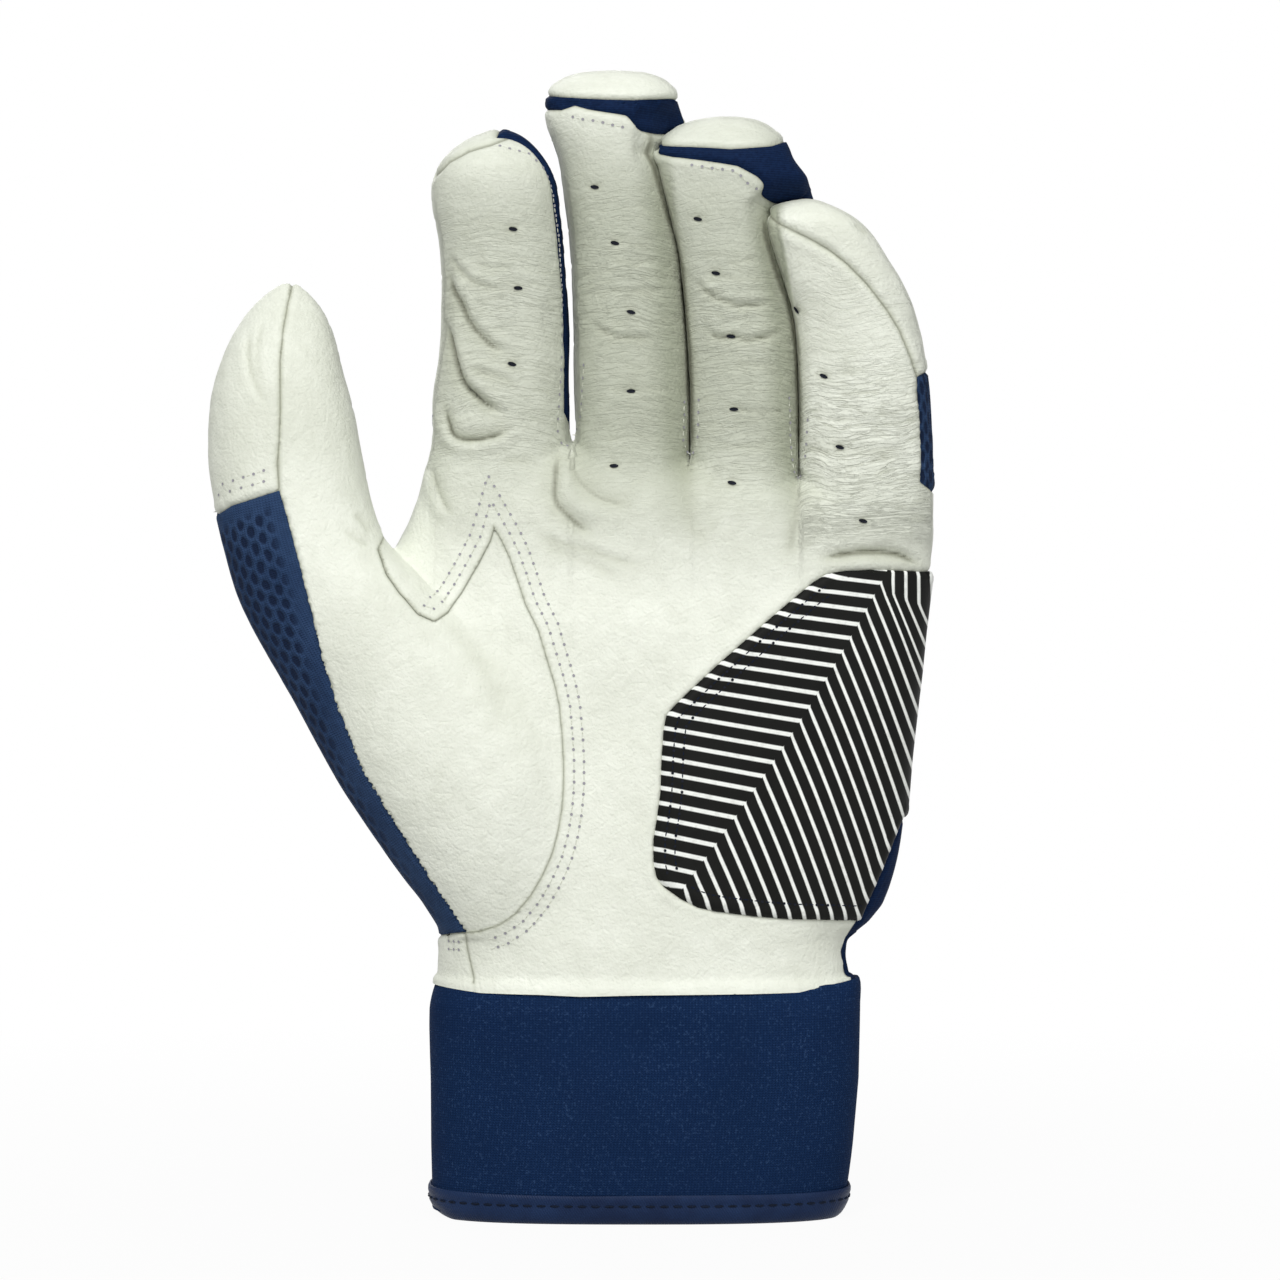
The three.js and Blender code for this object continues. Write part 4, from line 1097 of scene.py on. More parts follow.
def stripeNumbers(across, down):
    left = np.full(len(across), 0.5)
    right = np.full(len(across), 0.5)
    before = {}
    top, second = stripeForm["mitreTop"], stripeForm["secondTop"]
    for i in range(-stripeForm["secondCount"], stripeForm["count"]):
        slope = stripeForm["leftSlope"] + stripeForm["leftSlopeStep"] * i
        if i >= 0:
            startDown = top[1] + stripeForm["step"] * i
            startAcross = mitreAcross(np.float64(startDown))
            leftDown = startDown + (across - startAcross) * slope
        else:
            startAcross = top[0] - stripeForm["secondStep"] * i
            startDown = second[1] + stripeForm["secondLean"] * (startAcross - second[0])
            leftDown = top[1] + stripeForm["aboveStep"] * i + (across - top[0]) * slope
        lean = stripeForm["rightSlope"] + stripeForm["rightSlopeStep"] * max(i, 0)
        bend = stripeForm["straighten"]
        below = np.maximum(down - startDown, 0)
        rightAcross = startAcross + lean * bend * (1 - np.exp(-below / bend))
        if before:
            span = leftDown - before["left"]
            between = (down >= before["left"]) & (down < leftDown)
            left = np.where(between, i - 1 + (down - before["left"]) / span, left)
            span = before["right"] - rightAcross
            between = (across <= before["right"]) & (across > rightAcross)
            right = np.where(between, i - 1 + (before["right"] - across) / span, right)
        before = {"left": leftDown, "right": rightAcross}
    return left, right, mitreAcross(down) - across


left, right, mitre = stripeNumbers(place["across"], place["down"])
keepVectors(hand, "stripes", np.stack([left, right, mitre], 1))

# The skin comes apart into its panels, each with its own thickness
panelSettings = {
    "leather": 0.9, "slitBinding": 1.1, "heelPatch": 1.0, "smoothAngle": 50,
    "thumbBlend": ((-53.8, -9, 144), (-53.8, -9, 165)), "fingerReach": 10,
}
bpy.ops.object.select_all(action="DESELECT")
for name in regionNames:
    hand.data.materials.append(bpy.data.materials.new(name))
hand.data.polygons.foreach_set("material_index", faceLabel.astype(np.int32))
selectOnly(hand)
bpy.ops.object.mode_set(mode="EDIT")
bpy.ops.mesh.select_all(action="SELECT")
bpy.ops.mesh.separate(type="MATERIAL")
bpy.ops.object.mode_set(mode="OBJECT")
panels = {}
for ob in [o for o in scene.objects if o.type == "MESH" and o.name.startswith("hand")]:
    name = ob.material_slots[ob.data.polygons[0].material_index].material.name
    ob.name = name
    ob.data.name = name
    panels[name] = ob
bpy.data.objects.remove(panels.pop("slitOpening"))


def blendTo(piece, body):
    # bakes the piece's place into its mesh; the finger form picked by body is not used
    if body == "thumb_tip":
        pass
    else:
        form = fingerForms[fingerNames.index(body.split("_")[0])]
    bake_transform(piece)


def raisePanel(piece, height, edgeHeight):
    # a panel that lies on top of its neighbours
    mesh = piece.data
    count = len(mesh.vertices)
    used = np.zeros(count, int)
    ends = np.array([e.vertices[:] for e in mesh.edges])
    loopEdge = np.empty(len(mesh.loops), int)
    mesh.loops.foreach_get("edge_index", loopEdge)
    openEdge = np.bincount(loopEdge, minlength=len(ends)) == 1
    used[ends[openEdge].ravel()] = 1
    lift = np.where(used == 1, edgeHeight, height)
    writePoints(piece, readPoints(piece) + readNormals(piece) * lift[:, None])


raised = {"slitBinding": (0.7, 0.45), "heelPatch": (0.8, 0.5)}
slots = {
    "Gusset": "stretch_fabric", "webGussets": "stretch_fabric", "Cap": "leather", "Back": "air_mesh",
    "Front": "leather", "thumbMesh": "air_mesh", "thenarLeather": "leather", "wristSide": "leather",
    "heelPatch": "heel_patch", "backMesh": "air_mesh", "palmLeather": "leather", "slitBinding": "binding",
}
for name, measure, nodes in regions[1:]:
    piece = panels[name]
    if name in raised:
        raisePanel(piece, *raised[name])
    if name == "palmLeather":
        # its cut edge stands on the thumb's leather
        points = readPoints(piece)
        beside = np.abs(outlined(locate(points), "thenar"))
        step = 0.32 * ramp(0.9, 0.2, beside) * ramp(0.1, 0.5, -readNormals(piece)[:, 1])
        writePoints(piece, points + readNormals(piece) * step[:, None])
    selectOnly(piece)
    bpy.ops.object.shade_smooth()
    thickness = panelSettings.get(name, panelSettings["leather"])
    applyModifier(piece, "SOLIDIFY", thickness=thickness / 1000, offset=-1)
    selectOnly(piece)
    bpy.ops.object.shade_smooth_by_angle(angle=math.radians(panelSettings["smoothAngle"]))
    finger = next((f for f in fingerNames if name.startswith(f)), None)
    if finger:
        blendTo(piece, finger + "_finger")
    elif name in ("thumbCap", "thumbMesh", "thenarLeather"):
        blendTo(piece, "thumb_tip")
    else:
        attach(piece, "hand")
    for node in nodes:
        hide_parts(node)
    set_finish(piece, next(slot for key, slot in slots.items() if name == key or name.endswith(key)))
print("panels made:", len(panels))

# Cuff: a knitted band, the folded binding round its hem, and the strap on its back
cuff = {
    "centreX": 14.6, "width": 85.6, "depth": 38, "power": 2.8, "z": [0, 4.6, 14.4, 27.4, 45.7],
    "left": [-0.5, -0.5, -0.502, -0.502, -0.507], "right": [0.474, 0.478, 0.492, 0.506, 0.512],
    "depthHalf": [0.49, 0.49, 0.494, 0.5, 0.5],
    "top": 47.2, "bottom": 1.2, "tuckFrom": 41.5, "tuck": 1.5, "thickness": 1.8, "across": 260, "up": 40,
}
# the binding is folded round the hem; profile: how far out and how high, from outside to inside
bindingForm = {
    "profile": [
        (0.05, 5.7), (0.3, 5.95), (0.6, 5.9), (0.8, 5.5), (0.85, 4.9), (0.72, 4.3), (0.6, 3.8), (0.62, 3.3),
        (0.6, 2.5), (0.4, 1.7), (0.05, 0.9), (-0.4, 0.3), (-0.8, 0.03), (-1, 0.03), (-2, 0.2), (-2.7, 0.7),
        (-3, 1.6), (-2.95, 3.8), (-3, 5.2), (-2.7, 5.9), (-2.1, 6.1), (-1.6, 5.8), (-1, 5.6), (-0.5, 5.7),
    ],
    "wave": 0.25, "sideRise": 1.1, "insideFrom": 11, "insideShift": 20,
    "stitch": (0.95, 0.26, 0.3), "stitchZ": 3.8, "stitchOut": 0.62, "stitches": 73,
}
# the strap and its pads: x and height at both ends, mm
strapSheets = {
    "loopPad": {
        "body": "hand", "slot": "hook_and_loop", "node": "loop_pad", "x": (4, -21.5), "tall": (20, 20),
        "outset": 1.1, "thickness": 0.8, "corner": 2, "bevel": 0.2,
    },
    "strapRoot": {
        "body": "hand", "slot": "cuff_fabric", "node": "strap_anchor", "x": (50, 44), "tall": (25, 25),
        "outset": 2.2, "thickness": 1.9, "corner": 0.5, "bevel": 0.3,
    },
    "hookPad": {
        "body": "strap", "slot": "hook_and_loop", "node": "hook_pad", "x": (2.5, -18.5), "tall": (17, 17),
        "outset": 2.2, "thickness": 0.8, "corner": 2, "bevel": 0.2,
    },
    "closureStrap": {
        "body": "strap", "slot": "cuff_fabric", "node": "closure_strap", "x": (50, -20), "tall": (25, 20),
        "outset": 4, "thickness": 1.5, "corner": 5, "bevel": 0.45,
    },
    "pullTab": {
        "body": "strap", "slot": "leather", "node": "pull_tab", "x": (-10, -20), "tall": (14, 14),
        "outset": 5.1, "thickness": 0.8, "corner": 4, "bevel": 0.25,
    },
}
strapForm = {
    "z": 26, "column": 0.9, "rows": 18, "wave": 0.12, "bend": ((0.05, 0.0172, 0.026), (0.042, 0.0172, 0.026)),
    "stitch": (0.85, 0.22, 0.2), "stitchX": (47.5, -15, -2.4), "stitchInset": 1.6, "stitchOut": 4.02,
}


def cuffSection(z, outset):
    left, right = (np.interp(z, cuff["z"], cuff[side]) * cuff["width"] for side in ("left", "right"))
    deep = np.interp(z, cuff["z"], cuff["depthHalf"]) * cuff["depth"]
    return cuff["centreX"] + (left + right) / 2, (right - left) / 2 + outset, deep + outset


def cuffRing(z, outset, count):
    # even points round the cuff from one side of the slit to the other, by the thumb's side first
    centreX, halfWidth, halfDepth = cuffSection(z, outset)
    turn = np.linspace(math.pi / 2, math.pi * 5 / 2, 1441)
    c, s = np.cos(turn), np.sin(turn)
    x = centreX + halfWidth * np.sign(c) * np.abs(c) ** (2 / cuff["power"])
    y = halfDepth * np.sign(s) * np.abs(s) ** (2 / cuff["power"])
    half = np.interp(z, [0, slit["length"]], [slit["half"], slit["topHalf"]])
    outside = (y < 0) | (np.abs(x - slit["x"]) >= half)
    x, y = x[outside], y[outside]
    run = np.concatenate([[0], np.cumsum(np.hypot(np.diff(x), np.diff(y)))])
    even = np.linspace(0, run[-1], count)
    return np.interp(even, run, x), np.interp(even, run, y), even - run[-1] / 2


def backSurface(x, z, outset):
    centreX, halfWidth, halfDepth = cuffSection(z, outset)
    share = np.clip(np.abs(x - centreX) / halfWidth, 0, 0.999)
    return halfDepth * (1 - share ** cuff["power"]) ** (1 / cuff["power"])


def flatSheet(name, across, up):
    bpy.ops.object.select_all(action="DESELECT")
    bpy.ops.mesh.primitive_grid_add(x_subdivisions=across, y_subdivisions=up, size=1, location=(0, 0, 0))
    ob = bpy.context.object
    ob.name = name
    ob.data.name = name
    grid = readPoints(ob) / 1000 + 0.5
    return ob, np.rint(grid[:, 0] * across).astype(int), np.rint(grid[:, 1] * up).astype(int)


def shapeSheet(ob, places, pattern):
    writePoints(ob, places)
    keepVectors(ob, "cloth", pattern)
    selectOnly(ob)
    bpy.ops.object.shade_smooth()


def thicken(ob, thickness, bevel=0):
    applyModifier(ob, "SOLIDIFY", thickness=thickness / 1000, offset=-1)
    if bevel:
        applyModifier(
            ob, "BEVEL", width=bevel / 1000, segments=2, limit_method="ANGLE", angle_limit=math.radians(50)
        )
    selectOnly(ob)
    bpy.ops.object.shade_smooth_by_angle(angle=math.radians(50))


band, column, row = flatSheet("cuffBand", cuff["across"], cuff["up"])
heightsUp = np.linspace(cuff["bottom"], cuff["top"], cuff["up"] + 1)
rings = []
for height in heightsUp:
    tuck = cuff["tuck"] * max(0, (height - cuff["tuckFrom"]) / (cuff["top"] - cuff["tuckFrom"])) ** 1.5
    rings.append(cuffRing(height, -tuck, cuff["across"] + 1))
ringX, ringY, ringRun = (np.array([ring[k] for ring in rings]) for k in range(3))
places = np.stack([ringX[row, column], ringY[row, column], heightsUp[row]], 1)
sag = softNoise(places * [1, 1, 0.35], 17, 51) * 0.35 * ramp(2, 12, places[:, 2]) * ramp(44, 36, places[:, 2])
flatness = (cuff["width"] / cuff["depth"]) ** 2
outwards = np.stack([places[:, 0] - cuff["centreX"], places[:, 1] * flatness, 0 * sag], 1)
outwards /= np.linalg.norm(outwards, axis=1)[:, None]
places += outwards * np.minimum(sag, 0.2)[:, None]
# its corner at the little finger's side stands up beside the leather
corner = ramp(52, 57, places[:, 0]) * ramp(10, 2, places[:, 1])
corner *= ramp(cuff["tuckFrom"], cuff["top"], places[:, 2])
places[:, 2] += 0.7 * corner
places += outwards * (1.2 * corner)[:, None]
shapeSheet(band, places, np.stack([ringRun[row, column], places[:, 2], 0 * sag], 1))
thicken(band, cuff["thickness"], 0.4)
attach(band, "hand")
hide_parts("cuff_band")
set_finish(band, "cuff_fabric")

profile = np.array(bindingForm["profile"])
binding, column, row = flatSheet("cuffBinding", cuff["across"], len(profile))
rings = [cuffRing(z, outset, cuff["across"] + 1) for outset, z in profile]
rings.append(rings[0])
ringX, ringY, ringRun = (np.array([ring[k] for ring in rings]) for k in range(3))
row = len(profile) - row
profileZ = np.append(profile[:, 1], profile[0, 1])
ends = ringRun[row, column]
places = np.stack([ringX[row, column], ringY[row, column], profileZ[row]], 1)
places[:, 2] += bindingForm["wave"] * softNoise(places * [1, 1, 0], 23, 61) * ramp(1, 5, places[:, 2])
toEnd = np.abs(places[:, 0] - cuff["centreX"]) / cuff["width"] * 2
places[:, 2] += bindingForm["sideRise"] * ramp(0.88, 1, toEnd) * ramp(4, 1, places[:, 2])
inside = bindingForm["insideShift"] * (row > bindingForm["insideFrom"])
shapeSheet(binding, places, np.stack([ends, profileZ[row] + inside, 0 * ends], 1))
bpy.ops.object.mode_set(mode="EDIT")
bpy.ops.mesh.select_all(action="SELECT")
bpy.ops.mesh.remove_doubles(threshold=0.000001)
bpy.ops.mesh.fill_holes(sides=0)
bpy.ops.mesh.select_all(action="SELECT")
bpy.ops.mesh.normals_make_consistent(inside=False)
bpy.ops.object.mode_set(mode="OBJECT")
bpy.ops.object.shade_smooth_by_angle(angle=math.radians(50))
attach(binding, "hand")
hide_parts("cuff_binding")
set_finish(binding, "binding")

sheets = {}
for name, form in strapSheets.items():
    start, stop = form["x"]
    columns = max(8, int(abs(stop - start) / strapForm["column"]))
    sheet, column, row = flatSheet(name, columns, strapForm["rows"])
    share = column / columns
    x = start + (stop - start) * share
    tall = form["tall"][0] + (form["tall"][1] - form["tall"][0]) * share
    corner = form["corner"]
    fromEnd = np.minimum(np.abs(x - stop), corner)
    tall = tall - 2 * (corner - np.sqrt(np.maximum(corner ** 2 - (corner - fromEnd) ** 2, 0)))
    z = strapForm["z"] + (row / strapForm["rows"] - 0.5) * tall
    y = backSurface(x, z, form["outset"])
    if name == "closureStrap":
        y = y + strapForm["wave"] * (softNoise(np.stack([x, z], 1), 9, 71) - 1)
    shapeSheet(sheet, np.stack([x, y, z], 1), np.stack([x, z, 0 * x], 1))
    thicken(sheet, form["thickness"], form["bevel"])
    if name == "closureStrap":
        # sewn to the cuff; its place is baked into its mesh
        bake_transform(sheet)
    else:
        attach(sheet, form["body"])
    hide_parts(form["node"])
    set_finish(sheet, form["slot"])
    sheets[name] = sheet
print("cuff and strap made")

# Stitches, needle holes and vent holes: each kind is modelled once and copied
def threadShape():
    # a short stitch, thick in the middle
    bpy.ops.object.select_all(action="DESELECT")
    bpy.ops.mesh.primitive_uv_sphere_add(segments=8, ring_count=6, radius=1, location=(0, 0, 0))
    ob = bpy.context.object
    ob.name = "stitchShape"
    for v in ob.data.vertices:
        v.co = (v.co.z, v.co.x, v.co.y)
    bpy.ops.object.shade_smooth()
    return ob


def dishShape():
    # a punched hole: a rim, a sunken floor
    bpy.ops.object.select_all(action="DESELECT")
    bpy.ops.mesh.primitive_circle_add(vertices=14, radius=1, fill_type="NGON", location=(0, 0, 0))
    ob = bpy.context.object
    ob.name = "dishShape"
    bpy.ops.object.mode_set(mode="EDIT")
    bpy.ops.mesh.select_all(action="SELECT")
    bpy.ops.mesh.inset(thickness=0.22, depth=-0.18)
    bpy.ops.mesh.inset(thickness=0.25, depth=-0.2)
    bpy.ops.object.mode_set(mode="OBJECT")
    return ob


# sizes and lifts in mm, pitches in pixels of the picture; farApart and fullLength in m
stitchSettings = {
    "thread": (0.5, 0.13, 0.08), "threadSink": 0.02, "needle": (0.31, 0.28, 0.12), "needleLift": 0.12,
    "vent": (0.9, 0.39, 0.3), "ventLift": 0.22, "pitch": 10.8, "fingerPitch": 12.7, "patchPitch": 11,
    "farApart": 0.006, "fullLength": 0.0021,
}
threadTemplate, dishTemplate = threadShape(), dishShape()
laid = {}


def laidAt(template, spot, normal, along, size, lift, group):
    # a copy of a template on the skin, its length along the seam
    z = normal.normalized()
    x = (along - z * along.dot(z)).normalized()
    turn = Matrix((x, z.cross(x), z)).transposed().to_4x4()
    copy = template.copy()
    copy.data = template.data.copy()
    scene.collection.objects.link(copy)
    scaled = Matrix.Diagonal((*(value / 1000 for value in size), 1))
    copy.matrix_world = Matrix.Translation(spot + z * lift / 1000) @ turn @ scaled
    laid.setdefault(group, []).append(copy)


def evenAlong(line, pitch):
    line = np.array(line, float)
    run = np.concatenate([[0], np.cumsum(np.linalg.norm(np.diff(line, axis=0), axis=1))])
    count = max(2, int(round(run[-1] / pitch)) + 1)
    even = np.linspace(0, run[-1], count)
    return np.stack([np.interp(even, run, line[:, 0]), np.interp(even, run, line[:, 1])], 1)


def offsetLine(line, distance):
    # a line beside another, mitred at its corners; positive is left of its run on the picture
    line = np.array(line, float)
    out = []
    for i in range(len(line)):
        before, after = line[max(0, i - 1)], line[min(len(line) - 1, i + 1)]
        a = (line[i] - before) if i else (after - line[i])
        b = (after - line[i]) if i < len(line) - 1 else a
        a, b = a / np.linalg.norm(a), b / np.linalg.norm(b)
        na, nb = np.array([a[1], -a[0]]), np.array([b[1], -b[0]])
        n = na + nb
        n /= max(np.linalg.norm(n), 1e-6)
        out.append(line[i] + n * distance / max(0.35, n.dot(na)))
    return np.array(out)


def evenSpot(x, y, tree=None):
    # a place on the skin with the normal of its surroundings
    spot, normal = onSkin(x, y, tree)
    if spot is None:
        return spot, normal
    for dx, dy in ((5, 0), (-5, 0), (0, 5), (0, -5)):
        other, more = onSkin(x + dx, y + dy, tree)
        if other is not None and (other - spot).length < 0.003:
            normal = normal + more
    return spot, normal.normalized()


def stitchRow(line, pitch, group, tree=None, thread="Light"):
    spots = [evenSpot(x, y, tree) for x, y in evenAlong(line, pitch)]
    long, wide, tall = stitchSettings["thread"]
    threadSink = stitchSettings["threadSink"]
    needle, needleLift = stitchSettings["needle"], stitchSettings["needleLift"]
    for (a, na), (b, nb) in zip(spots, spots[1:]):
        if a is None or b is None or (b - a).length > stitchSettings["farApart"]:
            continue
        along = b - a
        middle, normal = (a + b) / 2, (na + nb) / 2
        size = (long * min(1, along.length / stitchSettings["fullLength"]), wide, tall)
        laidAt(threadTemplate, middle, normal, along, size, threadSink, group + "Thread" + thread)
        laidAt(dishTemplate, a, na, along, needle, needleLift, group + "Needle")


patchTree = BVHTree.FromPolygons(
    [v.co.copy() for v in panels["heelPatch"].data.vertices],
    [tuple(p.vertices) for p in panels["heelPatch"].data.polygons],
)
thenar = outlines["thenar"]
palmSeam = thenar[40:] + thenar[:20]
for distance in (10, 20):
    stitchRow(offsetLine(palmSeam, distance)[1:], stitchSettings["pitch"], "palm")
    stitchRow([(449, 933 + distance * 0.8), (464, 934 + distance * 0.8)], 6, "palm")
thumbRows = [
    [(223, 484), (238, 479), (254, 474), (274, 467)], [(219, 495), (237, 489), (256, 484), (275, 478)],
]
for line in thumbRows:
    stitchRow(line, stitchSettings["pitch"], "thumb")
fingerRows = {
    "index": [[(500, 146), (530, 154), (545, 170), (552, 190), (559, 240), (562, 300), (562, 345)],
              [(562, 345), (561, 370), (559, 400), (557, 430), (561, 443)]],
    "middle": [[(573, 117), (586, 120), (600, 121), (606, 124), (620, 126), (632, 131)],
               [(584, 365), (583, 379), (581, 415), (577, 430), (572, 441)],
               [(684, 402), (684, 417), (683, 441), (687, 452)]],
    "ring": [[(692, 165), (712, 168), (737, 171), (746, 182), (757, 189), (762, 197)],
             [(699, 400), (698, 437), (696, 449)],
             [(789, 398), (790, 415), (790, 433), (791, 452), (794, 472)]],
    "little": [[(808, 420), (807, 435), (806, 452), (804, 468)]],
}
for name, rows in fingerRows.items():
    for line in rows:
        stitchRow(line, stitchSettings["fingerPitch"] * (0.8 if line[0][1] < 200 else 1), name)
stitchRow([(561, 443), (567, 446), (572, 441)], 6, "palm")
stitchRow([(687, 452), (692, 455), (696, 449)], 5, "palm")
stitchRow([(794, 472), (799, 480), (804, 470)], 8, "palm")
patchEdge = outlines["heelPatch"]
inner = patchEdge[18:] + patchEdge[:2]
for distance in (-10, -20):
    row = offsetLine(inner, distance)[1:-1]
    stitchRow(row, stitchSettings["patchPitch"], "patch", patchTree, "Dark")
row = offsetLine(patchEdge[11:18], -14)
stitchRow(row, stitchSettings["patchPitch"], "patch", patchTree, "Dark")
# each vent is a near-black dish: painted shade of the hollow seen through the punched hole
ventEnds = {"index": 560, "middle": 660, "ring": 770, "little": 1280}
vent, ventLift = stitchSettings["vent"], stitchSettings["ventLift"]
for x, y, turn in foldSettings["holes"]:
    spot, normal = evenSpot(x, y)
    finger = next(name for name, end in ventEnds.items() if x < end)
    angle = math.radians(turn)
    along = Vector((math.cos(angle), 0, -math.sin(angle)))
    laidAt(dishTemplate, spot, normal, along, vent, ventLift, finger + "Vent")

# the hem's row runs all round, the strap's rows along its edges
stitchZ, count = bindingForm["stitchZ"], bindingForm["stitches"]
ringX, ringY, ringRun = cuffRing(stitchZ, bindingForm["stitchOut"], count + 2)
for i in range(1, count + 1):
    along = Vector((ringX[i + 1] - ringX[i - 1], ringY[i + 1] - ringY[i - 1], 0)).normalized()
    spot = Vector((ringX[i], ringY[i], stitchZ)) / 1000
    normal = along.cross(Vector((0, 0, -1)))
    laidAt(threadTemplate, spot, normal, along, bindingForm["stitch"], 0, "hemThreadDark")
ends, talls = (strapSheets["closureStrap"][key][::-1] for key in ("x", "tall"))
for edge in (-1, 1):
    for x in np.arange(*strapForm["stitchX"]):
        z = strapForm["z"] + edge * (np.interp(x, ends, talls) / 2 - strapForm["stitchInset"])
        y, ahead = (float(backSurface(np.float64(k), z, strapForm["stitchOut"])) for k in (x, x - 0.5))
        along = Vector((-0.5, ahead - y, 0)).normalized()
        spot = Vector((x, y, z)) / 1000
        normal = Vector((0, 0, 1)).cross(along)
        laidAt(threadTemplate, spot, normal, along, strapForm["stitch"], 0, "strapThreadDark")

stitchSlots = {
    "patchThreadDark": "heel_patch", "hemThreadDark": "binding", "strapThreadDark": "cuff_fabric",
}
stitches = {}
for group, copies in laid.items():
    selectOnly(*copies)
    bpy.ops.object.join()
    joined = bpy.context.object
    bpy.ops.object.transform_apply(location=True, rotation=True, scale=True)
    joined.name = group
    joined.data.name = group
    owner = next((f for f in fingerNames if group.startswith(f)), None)
    if owner:
        blendTo(joined, owner + "_finger")
    elif group.startswith("thumb"):
        blendTo(joined, "thumb_tip")
    elif group.startswith("strap"):
        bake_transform(joined)
    else:
        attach(joined, "hand")
    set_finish(joined, stitchSlots.get(group, "leather"))
    stitches[group] = joined
for template in (threadTemplate, dishTemplate):
    bpy.data.objects.remove(template)
print("stitches laid:", {group: len(copies) for group, copies in laid.items()})

# Materials: what several of them share is a node group
tones = {
    "leather": (0.80, 0.825, 0.73), "leatherShade": (0.46, 0.48, 0.375), "leatherDeepShade": (0.10, 0.10, 0.065),
    "leatherPaintedShade": (0.30, 0.325, 0.235),
    "knit": (0.021, 0.048, 0.115), "knitLight": (0.05, 0.098, 0.205), "knitShade": (0.004, 0.010, 0.032),
    "cuff": (0.0065, 0.024, 0.078), "cuffDark": (0.003, 0.012, 0.042), "cuffFleck": (0.03, 0.065, 0.15),
    "binding": (0.011, 0.028, 0.082), "bindingLow": (0.004, 0.010, 0.036),
    "patch": (0.006, 0.0062, 0.0055), "patchWorn": (0.014, 0.015, 0.0135), "stripe": (0.84, 0.86, 0.82),
    "stripeWorn": (0.42, 0.43, 0.39), "stretch": (0.008, 0.024, 0.075), "stretchDark": (0.003, 0.009, 0.032),
    "thread": (0.78, 0.80, 0.71), "threadDark": (0.006, 0.013, 0.036), "hole": (0.26, 0.25, 0.29),
    "vent": (0.008, 0.008, 0.006), "holeSoft": (0.36, 0.36, 0.37),
    "hook": (0.004, 0.006, 0.01), "hookLight": (0.02, 0.024, 0.04),
}


class Nodes:
    # a node tree and short ways of adding to it
    def __init__(self, tree):
        self.tree = tree

    def feed(self, node, name, value):
        socket = node.inputs[int(name)] if name.isdigit() else node.inputs[name]
        if isinstance(value, bpy.types.NodeSocket):
            self.tree.links.new(value, socket)
        else:
            socket.default_value = value

    def math(self, operation, first, second=0.0, third=None):
        node = self.tree.nodes.new("ShaderNodeMath")
        node.operation = operation
        self.feed(node, "0", first)
        self.feed(node, "1", second)
        if third is not None:
            self.feed(node, "2", third)
        return node.outputs[0]

    def mix(self, factor, first, second):
        node = self.tree.nodes.new("ShaderNodeMix")
        node.data_type = "RGBA"
        self.feed(node, "0", factor)
        self.feed(node, "6", first if isinstance(first, bpy.types.NodeSocket) else (*first, 1))
        self.feed(node, "7", second if isinstance(second, bpy.types.NodeSocket) else (*second, 1))
        return node.outputs[2]

    def ramp(self, value, low, high, toLow=0.0, toHigh=1.0):
        node = self.tree.nodes.new("ShaderNodeMapRange")
        for name, number in (("From Min", low), ("From Max", high), ("To Min", toLow), ("To Max", toHigh)):
            node.inputs[name].default_value = number
        self.feed(node, "Value", value)
        return node.outputs[0]

    def split(self, vector):
        node = self.tree.nodes.new("ShaderNodeSeparateXYZ")
        self.feed(node, "0", vector)
        return node.outputs

    def attribute(self, name, output):
        node = self.tree.nodes.new("ShaderNodeAttribute")
        node.attribute_name = name
        return node.outputs[output]

    def noise(self, vector, scale, detail=2, roughness=0.5):
        node = self.tree.nodes.new("ShaderNodeTexNoise")
        self.feed(node, "Vector", vector)
        node.inputs["Scale"].default_value = scale
        node.inputs["Detail"].default_value = detail
        node.inputs["Roughness"].default_value = roughness
        return node.outputs[0]

    def cells(self, vector, scale, feature="F1", output="Distance"):
        node = self.tree.nodes.new("ShaderNodeTexVoronoi")
        node.feature = feature
        self.feed(node, "Vector", vector)
        node.inputs["Scale"].default_value = scale
        return node.outputs[output]


def newGroup(name, inputs, outputs):
    tree = bpy.data.node_groups.new(name, "ShaderNodeTree")
    for label, kind in inputs:
        tree.interface.new_socket(label, in_out="INPUT", socket_type=kind)
    for label, kind in outputs:
        tree.interface.new_socket(label, in_out="OUTPUT", socket_type=kind)
    nodes = Nodes(tree)
    return nodes, tree.nodes.new("NodeGroupInput").outputs, tree.nodes.new("NodeGroupOutput")


def useGroup(nodes, tree, **inputs):
    node = nodes.tree.nodes.new("ShaderNodeGroup")
    node.node_tree = tree
    for name, value in inputs.items():
        nodes.feed(node, name, value)
    return node.outputs


def newMaterial(name, roughness, **settings):
    material = bpy.data.materials.new(name)
    material.use_nodes = True
    nodes = Nodes(material.node_tree)
    shader = next(n for n in material.node_tree.nodes if n.type == "BSDF_PRINCIPLED")
    shader.inputs["Roughness"].default_value = roughness
    for key, value in settings.items():
        shader.inputs[key.replace("_", " ")].default_value = value
    return material, nodes, shader


def bumped(nodes, shader, height, strength, distance):
    bump = nodes.tree.nodes.new("ShaderNodeBump")
    bump.inputs["Strength"].default_value = strength
    bump.inputs["Distance"].default_value = distance / 1000
    nodes.feed(bump, "Height", height)
    nodes.feed(shader, "Normal", bump.outputs[0])


